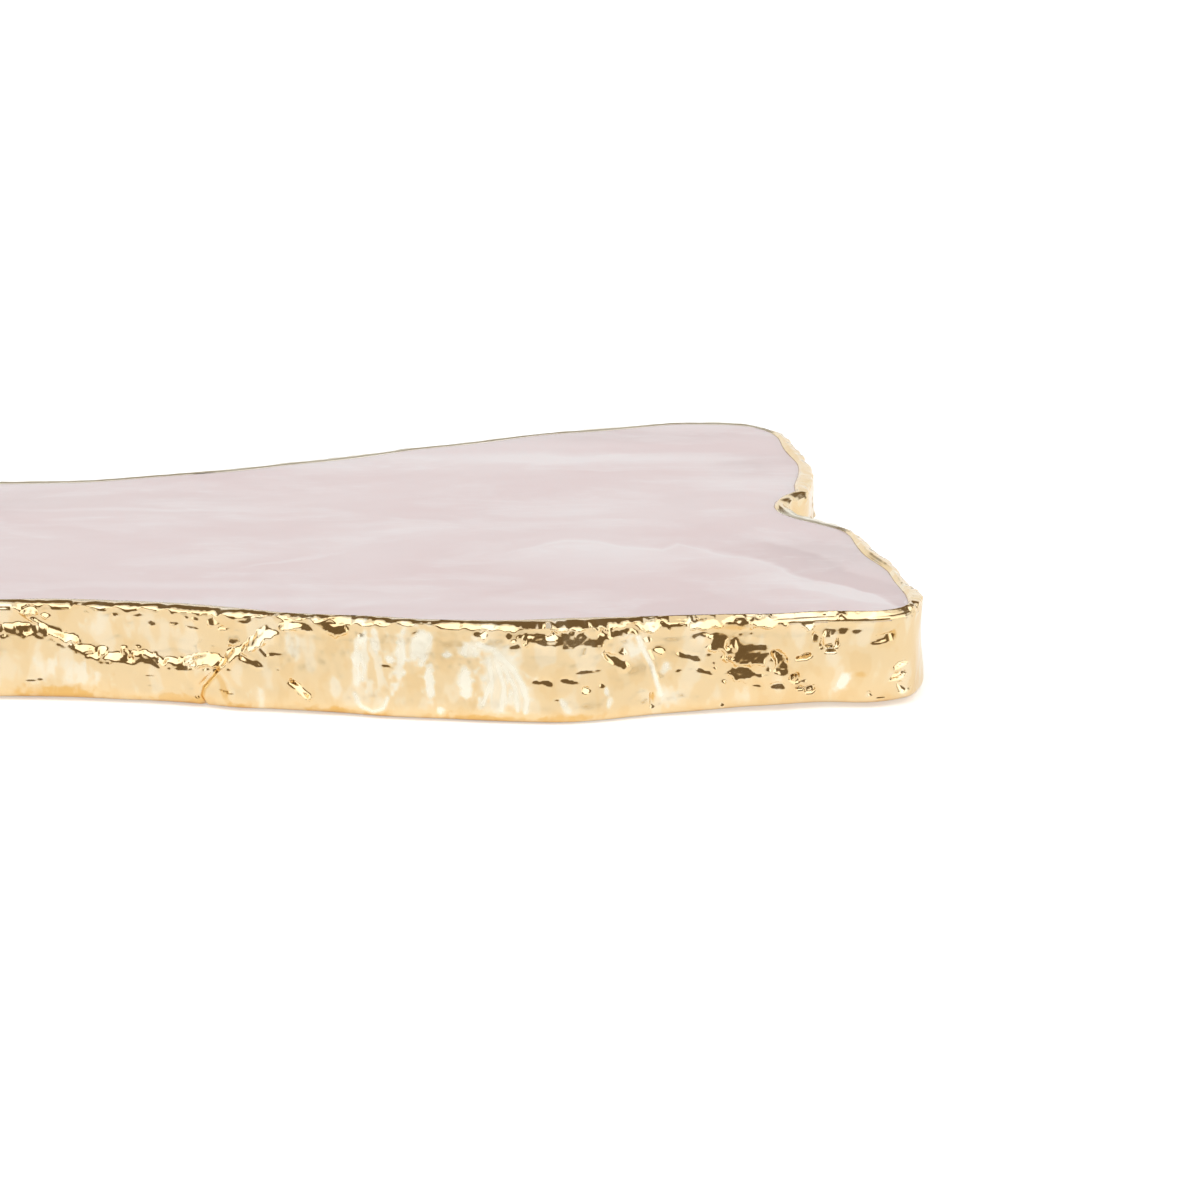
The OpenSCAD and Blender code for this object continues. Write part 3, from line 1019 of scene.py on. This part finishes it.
# %% Folds and sparkles
def distance_to(path):
    """Distance of every point on the wall from a path, given by points across and up."""
    nearest = np.full(grid_shape, np.inf)
    for (start_from, start_up), (end_from, end_up) in zip(path, path[1:]):
        run, climb = start_from - end_from, end_up - start_up
        right, up = start_from - from_lobe, height - start_up
        share = np.clip((right * run + up * climb) / (run * run + climb * climb), 0, 1)
        nearest = np.minimum(nearest, np.hypot(right - share * run, up - share * climb))
    return nearest


def add_fold(path, half_width, rise):
    """A crest, or a crease where the rise is negative, along a path."""
    nearest = distance_to(path) / half_width
    stands_out[:] += rise * np.clip(1 - nearest**2, 0, 1) ** 1.5 * front_share


def add_sparkle(from_end, at_height, half_length, half_height, turn, depth):
    """A cluster of tiny sharp chips."""
    distance = mark_distance(from_end - from_lobe, at_height, half_length, half_height, turn)
    stands_out[:] += depth * ripple * soft_step(distance, 1.2, 0.7) * front_share


def add_all(add, title, table):
    """Adds every mark of a table, and prints how many there are."""
    for mark in table:
        add(*mark)
    print(title + ":", len(table))


# %% [markdown]
# Besides its relief the plating has a tone, and the tone also paints light. It varies at random
# in soft clouds. The cream, mostly in upright streaks on the old flake scars, is a painted
# highlight that stands in for the white soft boxes mirrored by fluted facets; only its extra
# roughness is a matt finish. The deeper gold low on the wall and in creases is painted shade,
# where these places would mirror the shaded floor near the stone. The tone is one number for each
# point of the mesh, from -1 for the deepest gold to 1 for cream, and the finish reads it as an
# attribute. Past these two the look stays the same.

# %% Tones of the plating: random tone, painted highlight and painted shade
tone_clouds = natural(1.5, 3, 8, stretch=1.8)
tone_with_painted_light = 0.34 * soft_step(tone_clouds, 0.02, 0.4) - 0.3 * soft_step(tone_clouds, -0.05, -0.45)
# Painted shade: low on the wall the plating turns a deeper gold, stronger away from the lobe, as
# the shaded floor near the stone would be mirrored there.
low_on_wall = soft_step(height + 0.5 * crumple + 0.3 * outline_noise, 1.0, 0.35)
foot_shade_strength = 0.1 + 0.9 * soft_step(patches + 0.6 * tone_clouds, -0.15, 0.2)
tone_with_painted_light -= 0.9 * low_on_wall * foot_shade_strength * (0.3 + 0.7 * soft_step(from_lobe, 19, 27))
streak_share = soft_step(flutes + 0.2 * ripple, -0.2, 0.2)


def add_painted_light_patch(from_end, at_height, half_length, half_height, turn, strength, evenness=0.35):
    """A patch of cream as painted highlight or, below zero, of deep gold as painted shade, more or
    less broken into streaks.
    """
    distance = mark_distance(from_end - from_lobe, at_height, half_length, half_height, turn)
    cover = soft_step(distance, 1.4, 0.45) * (evenness + (1 - evenness) * streak_share)
    tone_with_painted_light[:] += (strength - tone_with_painted_light) * cover * front_share


def add_painted_light_line(path, half_width, strength):
    """A thin line of cream as painted highlight or of deep gold as painted shade, along a path."""
    cover = soft_step(distance_to(path), 1.3 * half_width, 0.1 * half_width)
    tone_with_painted_light[:] += (strength - tone_with_painted_light) * cover * front_share


# %% [markdown]
# ## The marks of the front wall
# These are the chips that give this edge its face. Each line is one mark: its distance from the
# lobe's end, its height, its half length and half height in millimetres, its turn in degrees,
# and what it shows. The order counts: a later mark cuts into an earlier one, as a later blow
# does, so most bright marks come after the dark ones beside them.

# %% Marks left of the fold
add_all(add_facet, "marks left of the fold", [
    (59.9, 1.45, 0.42, 0.16, 0, DARK),
    (59.4, 1.5, 0.2, 0.14, 30, DARK),
    (56.1, 6.15, 0.24, 0.14, 0, DARK),
    (54.2, 6.1, 0.24, 0.14, 0, DARK),
    (52.7, 6.05, 0.45, 0.13, 0, DARK),
    (51.7, 5.45, 0.26, 0.2, 0, DARK),
    (52.0, 2.05, 0.35, 0.1, 8, DARK),
    (51.9, 1.4, 0.15, 0.12, 0, DARK),
    (49.6, 2.7, 0.7, 0.22, 10, DARK),
    (49.4, 6.1, 0.16, 0.12, 0, DARK),
    (48.8, 6.1, 0.35, 0.16, -25, DARK),
    (50.2, 5.55, 0.3, 0.12, 10, DARK),
    (49.0, 5.4, 0.6, 0.1, -8, DARK),
    (47.6, 5.95, 0.5, 0.36, 10, DARK),
    (46.9, 5.55, 0.42, 0.17, 5, BRIGHT),
    (45.5, 6.1, 0.5, 0.22, -5, DARK),
    (47.6, 4.3, 0.16, 0.1, 0, DARK),
    (46.2, 4.8, 0.45, 0.35, 20, DARK),
    (45.0, 3.5, 0.85, 0.2, -29, DARK),
    (43.3, 4.1, 0.5, 0.13, 23, DARK),
    (46.6, 2.9, 0.42, 0.16, -5, DARK),
    (46.7, 1.35, 0.45, 0.1, 0, DARK),
])

# %% Marks of the middle
add_all(add_facet, "marks of the middle", [
    (42.1, 6.0, 1.1, 0.28, -4, DARK),
    (39.6, 6.0, 1.25, 0.38, -8, DARK),
    (35.9, 3.7, 0.42, 0.17, -15, DARK),
    (34.1, 6.0, 0.4, 0.14, 25, DARK),
    (29.9, 6.1, 0.22, 0.26, 0, DARK),
    (29.5, 6.0, 0.22, 0.3, 0, BRIGHT),
    (27.9, 6.0, 0.2, 0.36, 0, DARK),
    (27.3, 5.3, 0.75, 0.2, 37, DARK),
    (24.1, 5.7, 2.6, 0.56, 0, DARK),
    (25.1, 5.9, 0.4, 0.35, 0, BRIGHT),
    (26.1, 2.95, 0.35, 0.14, -5, DARK),
    (25.4, 2.85, 0.42, 0.26, -35, DARK),
    (24.0, 3.0, 0.7, 0.19, -15, DARK),
    (22.6, 3.6, 0.6, 0.1, 3, DARK),
    (22.9, 2.25, 0.22, 0.35, 20, BRIGHT),
    (24.8, 1.8, 0.22, 0.12, 0, DARK),
    (21.8, 2.6, 0.28, 0.14, -50, DARK),
    (20.8, 4.1, 0.9, 0.36, -38, DARK),
])

# %% Marks of the bulge and the lobe
add_all(add_facet, "marks of the bulge and the lobe", [
    (20.6, 6.0, 1.1, 0.3, -3, DARK),
    (18.8, 5.4, 0.38, 0.26, 0, DARK),
    (18.0, 4.6, 0.38, 0.3, -20, BRIGHT),
    (16.9, 6.1, 0.3, 0.25, 0, DARK),
    (16.1, 4.1, 0.75, 0.24, -20, DARK),
    (16.8, 3.2, 0.26, 0.12, 20, DARK),
    (15.9, 3.25, 0.2, 0.1, 0, DARK),
    (15.1, 3.05, 0.55, 0.2, -28, DARK),
    (14.8, 4.2, 0.2, 0.1, 20, DARK),
    (15.6, 5.5, 0.2, 0.32, 0, DARK),
    (14.0, 5.1, 0.7, 0.6, 40, DARK),
    (12.2, 4.3, 1.5, 1.0, 8, DARK),
    (12.5, 2.8, 1.2, 0.5, 0, DARK),
    (11.6, 1.95, 0.28, 0.18, 0, DARK),
    (10.0, 3.3, 0.5, 1.0, 5, DARK),
    (10.4, 1.8, 0.5, 0.3, 0, DARK),
    (13.9, 0.6, 0.24, 0.3, -30, DARK),
    (8.4, 3.8, 0.5, 0.13, 10, DARK),
    (7.4, 6.1, 0.5, 0.3, 0, DARK),
    (7.6, 5.1, 0.3, 0.3, 0, DARK),
    (5.8, 5.6, 0.42, 0.4, 0, DARK),
    (4.9, 5.55, 0.26, 0.2, 0, DARK),
    (3.1, 5.0, 0.7, 0.26, 10, DARK),
    (9.2, 2.35, 0.5, 0.28, -25, DARK),
    (8.1, 1.45, 0.4, 0.3, -30, DARK),
    (8.8, 1.6, 0.3, 0.15, -10, DARK),
    (2.2, 3.0, 0.42, 0.15, 18, DARK),
    (2.4, 2.2, 0.6, 0.16, 20, DARK),
    (4.0, 1.0, 0.35, 0.12, -60, DARK),
    (3.7, 0.75, 0.55, 0.1, 12, DARK),
    (2.3, 1.3, 0.16, 0.3, 0, DARK),
])

# %% Bright flecks along the flake scar
add_all(add_facet, "flecks along the flake scar", [
    (61.3, 5.1, 0.5, 0.22, 0, BRIGHT),
    (60.2, 5.15, 0.4, 0.2, 0, BRIGHT),
    (59.2, 5.05, 0.4, 0.22, -15, BRIGHT),
    (59.9, 6.2, 0.45, 0.3, 0, BRIGHT),
    (59.0, 5.9, 0.3, 0.25, -30, BRIGHT),
    (58.2, 4.75, 0.35, 0.28, -30, BRIGHT),
    (57.3, 4.4, 0.4, 0.25, -25, BRIGHT),
    (56.2, 3.7, 0.35, 0.25, 0, BRIGHT),
    (55.1, 3.6, 0.3, 0.42, 10, BRIGHT),
    (54.6, 3.2, 0.5, 0.2, 0, BRIGHT),
    (47.9, 3.35, 1.0, 0.4, 0, BRIGHT),
    (46.4, 3.9, 0.5, 0.4, 35, BRIGHT),
    (44.2, 5.1, 1.1, 0.42, 35, BRIGHT),
    (42.6, 6.0, 0.8, 0.2, 12, BRIGHT),
    (41.7, 1.75, 0.95, 0.2, -46, BRIGHT),
    (42.1, 1.85, 0.7, 0.08, -46, DARK),
])

# %% Marks along the rim of the lobe
add_all(add_facet, "marks along the rim of the lobe", [
    (18.6, 6.3, 1.0, 0.32, 0, BRIGHT),
    (14.7, 6.3, 1.5, 0.32, 4, BRIGHT),
    (12.3, 6.2, 0.5, 0.34, 0, DARK),
    (11.0, 6.25, 0.9, 0.34, 0, BRIGHT),
    (9.7, 6.3, 0.3, 0.3, 0, BRIGHT),
    (8.3, 6.25, 0.6, 0.4, -25, BRIGHT),
    (7.2, 6.3, 0.4, 0.36, 0, DARK),
    (6.3, 6.4, 0.5, 0.26, 0, BRIGHT),
    (5.8, 5.7, 0.4, 0.32, 10, DARK),
])

# %% Beads, knobs and folds
add_all(add_bump, "beads and knobs", [
    (50.9, 2.95, 0.5, 0.45, 0, 0.16),
    (50.9, 2.95, 0.25, 0.22, 0, -0.14),
    (20.4, 4.5, 0.42, 0.42, 0, 0.2),
    (15.0, 5.4, 0.55, 0.5, 0, 0.22),
    (13.1, 4.7, 0.22, 0.4, 10, 0.14),
    (10.95, 2.6, 0.35, 0.9, 0, 0.16),
    (6.8, 5.0, 0.6, 0.8, 5, 0.32),
    (9.2, 2.35, 0.22, 0.18, 0, 0.14),
    (8.5, 2.0, 0.3, 0.25, 0, 0.16),
    (8.1, 1.45, 0.2, 0.18, 0, 0.14),
    (1.9, 0.8, 0.9, 0.6, 0, 0.16),
])
add_all(add_facet, "marks on the largest knob", [
    (6.7, 4.45, 0.3, 0.16, 0, BRIGHT),
    (6.7, 4.12, 0.45, 0.09, 0, DARK),
    (7.25, 4.7, 0.08, 0.3, 0, DARK),
    (6.2, 4.7, 0.1, 0.35, 0, DARK),
])
# Points from one end to the other, half width, and rise.
add_all(add_fold, "folds", [
    ([(46.4, 4.2), (47.1, 3.1), (47.7, 2.4), (48.4, 1.6), (48.6, 0.9), (48.2, 0.2)], 0.28, -0.25),
    ([(48.5, 4.9), (48.8, 4.3), (48.7, 3.7)], 0.16, -0.1),
    ([(19.2, 5.9), (19.0, 4.9), (18.6, 3.9), (18.4, 2.8), (18.1, 1.9)], 0.35, 0.14),
    ([(18.5, 1.7), (18.5, 0.9)], 0.16, -0.18),
    ([(61.0, 6.4), (59.3, 5.2), (57.5, 4.1)], 0.22, 0.18),
    ([(44.9, 5.0), (44.0, 4.0)], 0.12, -0.1),
])

# %% Sparkling clusters
add_all(add_sparkle, "sparkling clusters", [
    (59.7, 6.0, 0.6, 0.6, 0, 0.07),
    (58.6, 4.3, 0.5, 0.35, -20, 0.06),
    (56.8, 4.1, 1.0, 0.6, -35, 0.06),
    (60.3, 4.95, 1.4, 0.25, 0, 0.07),
    (53.2, 3.3, 1.6, 0.3, 0, 0.05),
    (48.6, 3.1, 0.8, 0.35, 10, 0.04),
    (46.0, 4.8, 0.6, 0.6, 35, 0.04),
    (50.9, 2.95, 0.55, 0.45, 0, 0.04),
    (24.4, 5.7, 2.2, 0.6, 0, 0.055),
    (20.9, 4.2, 0.9, 0.5, -35, 0.03),
    (19.4, 6.1, 1.8, 0.4, 0, 0.05),
    (15.0, 6.1, 3.0, 0.35, 0, 0.04),
    (12.3, 3.6, 1.7, 1.4, 0, 0.03),
    (10.3, 3.2, 1.0, 1.6, 10, 0.05),
    (8.7, 2.0, 1.0, 0.5, -30, 0.05),
    (6.6, 5.2, 0.8, 0.8, 0, 0.03),
    (2.2, 2.4, 1.2, 1.4, 0, 0.03),
    (17.8, 1.2, 1.6, 0.6, -5, 0.03),
])

# %% [markdown]
# The last lines of this part are tones of painted light: cream as painted highlight where the
# flake scars fan out, deep gold as painted shade at the foot and in the deepest creases. The
# number after the turn is the tone, and the last one tells how even it is.

# %% Painted highlight in cream and painted shade in deep gold
add_all(add_painted_light_patch, "patches of cream and deep gold", [
    (61.2, 2.4, 0.9, 0.9, 0, 0.3),
    (57.2, 2.1, 2.4, 0.9, -14, 0.6),
    (55.6, 5.5, 1.0, 0.9, 0, 0.5),
    (53.2, 5.4, 0.8, 1.0, 0, 0.35),
    (51.0, 5.0, 2.2, 1.0, 0, 0.35),
    (48.9, 4.4, 0.9, 0.9, 0, 0.4),
    (44.6, 1.2, 0.6, 0.9, 30, 0.6),
    (42.3, 4.8, 0.7, 1.2, 0, 0.6, 0.6),
    (41.2, 4.4, 0.5, 1.3, 0, 0.4),
    (39.4, 2.0, 0.5, 0.9, 10, 0.5),
    (36.8, 3.7, 1.6, 2.7, 0, 0.5, 0.35),
    (38.0, 3.6, 0.28, 1.8, 0, 0.9, 0.7),
    (37.4, 4.2, 0.26, 2.2, 0, 0.9, 0.7),
    (36.7, 5.3, 0.32, 0.9, 10, 0.9, 0.7),
    (35.7, 4.1, 0.3, 0.35, 0, 1.0, 0.9),
    (35.0, 4.4, 0.3, 2.0, -6, 1.0, 0.8),
    (33.7, 5.2, 0.72, 1.4, -8, 1.0, 0.9),
    (33.1, 2.6, 0.36, 1.2, 5, 1.0, 0.85),
    (32.0, 4.6, 0.5, 0.22, 0, 0.9, 1.0),
    (30.6, 5.0, 0.8, 0.6, 10, 0.9, 0.8),
    (30.7, 2.7, 0.5, 1.05, 12, 1.0, 0.95),
    (28.4, 4.1, 1.0, 0.9, -35, 0.8, 0.7),
    (28.3, 2.5, 1.6, 1.9, -8, 0.85, 0.62),
    (32.4, 0.8, 0.25, 0.35, 20, 0.95, 0.9),
    (24.2, 1.3, 0.25, 0.7, 35, 0.9, 0.8),
    (21.5, 2.2, 0.2, 0.35, 0, 0.9, 0.8),
    (21.3, 1.3, 0.18, 0.35, 0, 0.9, 0.8),
    (19.9, 4.7, 0.7, 0.9, -30, 0.7, 0.5),
    (17.6, 3.4, 0.3, 0.5, 0, 0.9, 0.8),
    (17.4, 1.4, 0.7, 0.6, 0, 0.8, 0.6),
    (12.4, 1.3, 0.35, 0.5, 0, 0.6, 0.6),
    (6.4, 3.6, 0.5, 0.6, 0, 0.4, 0.8),
    (5.7, 2.0, 0.36, 0.8, -25, 1.0, 1.0),
    (29.5, 0.35, 2.4, 0.3, 0, -0.9, 0.8),
    (23.6, 0.45, 1.8, 0.28, 0, -0.7, 0.8),
    (58.0, 0.7, 2.6, 0.5, 0, -0.9, 0.7),
    (50.0, 0.6, 2.0, 0.35, 0, -0.6, 0.6),
    (46.9, 1.6, 0.3, 1.2, 15, -0.8, 0.8),
    (13.0, 6.0, 0.9, 0.22, 0, -0.7, 0.9),
    (15.2, 5.3, 0.3, 0.4, 0, 0.5, 0.8),
    (4.6, 2.5, 0.3, 0.2, 0, -0.7, 0.9),
    (18.4, 1.5, 0.1, 0.35, 0, -1.0, 1.0),
    (2.4, 5.2, 0.12, 0.35, 0, -0.8, 1.0),
])

# %% Lines of painted highlight in cream and painted shade in deep gold
# Points from one end to the other, half width, and tone.
add_all(add_painted_light_line, "lines of cream and deep gold", [
    ([(38.1, 1.6), (37.7, 0.8), (36.9, 0.5), (36.2, 0.8), (35.9, 1.5)], 0.2, 0.85),
    ([(29.9, 5.4), (29.0, 5.1), (27.7, 3.9), (27.0, 2.8), (26.7, 1.7), (26.8, 0.9)], 0.22, 1.0),
    ([(29.2, 4.3), (29.0, 3.0), (29.6, 1.4)], 0.2, 0.9),
    ([(28.6, 4.0), (28.2, 2.6), (28.4, 1.0)], 0.18, 0.95),
    ([(28.2, 3.9), (27.5, 2.6), (27.3, 1.0)], 0.18, 0.9),
    ([(19.4, 5.6), (19.0, 4.6), (18.5, 3.6), (18.2, 2.5), (17.9, 1.6)], 0.22, 0.95),
    ([(47.2, 3.0), (47.6, 2.2), (48.2, 1.4), (48.4, 0.6)], 0.2, -1.0),
])
print("the tone goes from", tone_with_painted_light.min().round(2), "to", tone_with_painted_light.max().round(2))

# %% [markdown]
# ## The band: the rest of the edge
# Where the plating is painted cream, the wall is smoothed too. The sides that no table covers
# get chips by a rule with a fixed seed, which gives the same chips every time the script runs.
# Last, the turn of the metal over the face is made uneven, and along the back it thins out to a
# film.

# %% Calm places
calm = soft_step(tone_with_painted_light, 0.3, 0.7) * soft_step(levels, TURN_TOP, WALL_TOP + 0.5) * front_share
smoother = soften_round(soften_across(stands_out, 12), 12)
stands_out += 0.7 * (smoother - stands_out) * calm

# %% Chips on the rest of the edge
picker = np.random.default_rng(52)
chip_spacing = 1.1
rare = 0.72
other_share = 1 - front_share * soft_step(from_lobe, 64, 61.5)
# The lobe's tip gets few of them, so that its outline stays smooth.
other_share *= 1 - 0.92 * soft_step(from_lobe, 5, 3) * soft_step(place[:, :, 1], -14, -18)


def beside_edge(position):
    """Distance round the edge from a position, the short way."""
    return (along_edge - position + edge_length / 2) % edge_length - edge_length / 2


chip_places = np.arange(0, edge_length, chip_spacing)
for chip_place in chip_places:
    pick = picker.random(7)
    beside = beside_edge(chip_place + 0.8 * chip_spacing * pick[0])
    chip_height = 0.8 + (thickness - 1.4) * pick[1]
    half_length = 0.25 + 0.9 * pick[2] ** 2
    half_height = 0.14 + 0.35 * pick[3] ** 2
    chip = (beside, chip_height, half_length, half_height, 80 * (pick[4] - 0.5))
    tilt = BRIGHT if pick[5] > rare else DARK
    cut_facet(*chip, tilt, other_share, most_raised=0.1)
    if pick[6] > rare:
        raise_bump(beside, thickness * pick[2], 0.5, 0.45, 0, 0.14, other_share)
print("the rest of the edge has", len(chip_places), "chips by the rule")

# %% Uneven top rim
rim_pattern = natural(0.8, 2, 6)
at_turn = soft_step(levels, LAP + 0.5, TURN_TOP + 0.5) * soft_step(levels, 5.2, WALL_TOP)
even_rim = 0.8 * soft_step(from_lobe, 6, 5) * front_share
stands_out += 0.06 * rim_pattern * at_turn * (1 - even_rim)
on_lap = soft_step(levels, LAP, LAP + 0.4) * soft_step(levels, WALL_TOP, TURN_TOP)
height -= on_lap * np.clip(0.05 * rim_pattern + 0.03 * ripple, -0.03, 0.05)

# %% Thin lap along the back
film_drop, film_tone = 0.21, 0.9
at_back = soft_step(outward[:, 1], 0.1, 0.6)[:, None] * soft_step(levels, 5.5, WALL_TOP)
height -= film_drop * at_back
tone_with_painted_light += (film_tone - tone_with_painted_light) * at_back

# %% [markdown]
# ## The band: back to one mesh
# The reshaped grid goes back into the mesh, with its two rims where they were, so that the
# inside of the band still closes it. A chip may come close to the stone but not into it: every
# point keeps a thin layer of metal over the stone, and stays inside the construction model's box.

# %% Put the points back
off_rim = np.zeros(grid_shape)
off_rim[:, 1:-1] = 1.0
stands_out = np.maximum(stands_out, deepest)
moved = as_built + (stands_out - as_built) * off_rim
place[:, :, :2] = outline[:, None] + outward[:, None] * moved[:, :, None] + aside
place[:, :, 2] += (height - place[:, :, 2]) * off_rim

# %% Keep the metal outside the stone and inside the construction model's box
least_metal = 0.03
fitted = 0
for turn, level in np.argwhere(off_rim > 0):
    point = Vector(place[turn, level]) * MM
    spot, normal, _, gap = stone_surface.find_nearest(point)
    outside = (point - spot).dot(normal) > 0
    if not outside or gap < least_metal * MM:
        place[turn, level] = (spot + normal * (least_metal * MM)) / MM
        fitted += 1
place = np.clip(place, low_corner, high_corner)
print("points held off the stone:", fitted, "of", grid.size)

# %% The band's mesh
all_places[grid] = place
edge_data.vertices.foreach_set("co", (all_places * MM).ravel())
edge_data.update()
# The tone goes to the mesh as an attribute; its cream is painted highlight and its deep gold partly
# painted shade.
tone_values = np.zeros(len(all_places), dtype=np.float32)
tone_values[grid] = tone_with_painted_light
edge_data.attributes.new("tone_with_painted_light", "FLOAT", "POINT").data.foreach_set("value", tone_values)
print("the band's mesh has", len(edge_data.polygons), "faces")

# %% [markdown]
# ## The gold plating
# Gold is a plain metal: its colour tints what it mirrors. One even gold would look like a
# coat of paint, so the tone moves the colour between cream, gold and deep gold, and with it paints
# light: the cream is a painted highlight, and the deep gold is partly painted shade. The cream
# places are rougher, because the plating is matt there. The grain is a very shallow bump from the
# shared noise, as an etched copper layer has it.

# %% Gold finish
gold = bpy.data.materials.new("gold_plate")
gold.use_nodes = True
edge_data.materials.append(gold)
tree = gold.node_tree
shader = tree.nodes["Principled BSDF"]
plain_gold = (0.86, 0.665, 0.39, 1)
# Deep gold is partly random tone and partly painted shade at the foot and in creases.
deep_gold_and_shade = (0.78, 0.49, 0.17, 1)
# Cream is a painted highlight: the white soft boxes that fluted facets would mirror.
cream_highlight_gold = (1.0, 0.96, 0.81, 1)
tone_value = add_node(tree, "ShaderNodeAttribute", {"attribute_name": "tone_with_painted_light"}).outputs["Fac"]
cream_highlight_share = ramp(tree, tone_value, 0, 1)
gold_colour = mix_colours(tree, ramp(tree, tone_value, 0, -1), plain_gold, deep_gold_and_shade)
gold_colour = mix_colours(tree, cream_highlight_share, gold_colour, cream_highlight_gold)
tree.links.new(gold_colour, shader.inputs["Base Color"])
tree.links.new(ramp(tree, cream_highlight_share, 0, 1, 0.11, 0.28), shader.inputs["Roughness"])
tree.links.new(ramp(tree, cream_highlight_share, 0, 1, 1.0, 0.9), shader.inputs["Metallic"])
position = add_node(tree, "ShaderNodeTexCoord").outputs["Object"]
grain = add_node(
    tree,
    "ShaderNodeBump",
    sockets={
        "Strength": 0.12,
        "Distance": 0.02 * MM,
        "Height": place_noise(tree, position, size=0.35, length=1.0, bend=0.6, seed=51.0),
    },
)
tree.links.new(grain.outputs[0], shader.inputs["Normal"])
print("the gold finish has", len(tree.nodes), "nodes")

# %% The gilded edge
gilded_edge = bpy.data.objects.new("gilded_edge", edge_data)
bpy.context.scene.collection.objects.link(gilded_edge)
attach(gilded_edge, "root")
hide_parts("gold_edge_band")
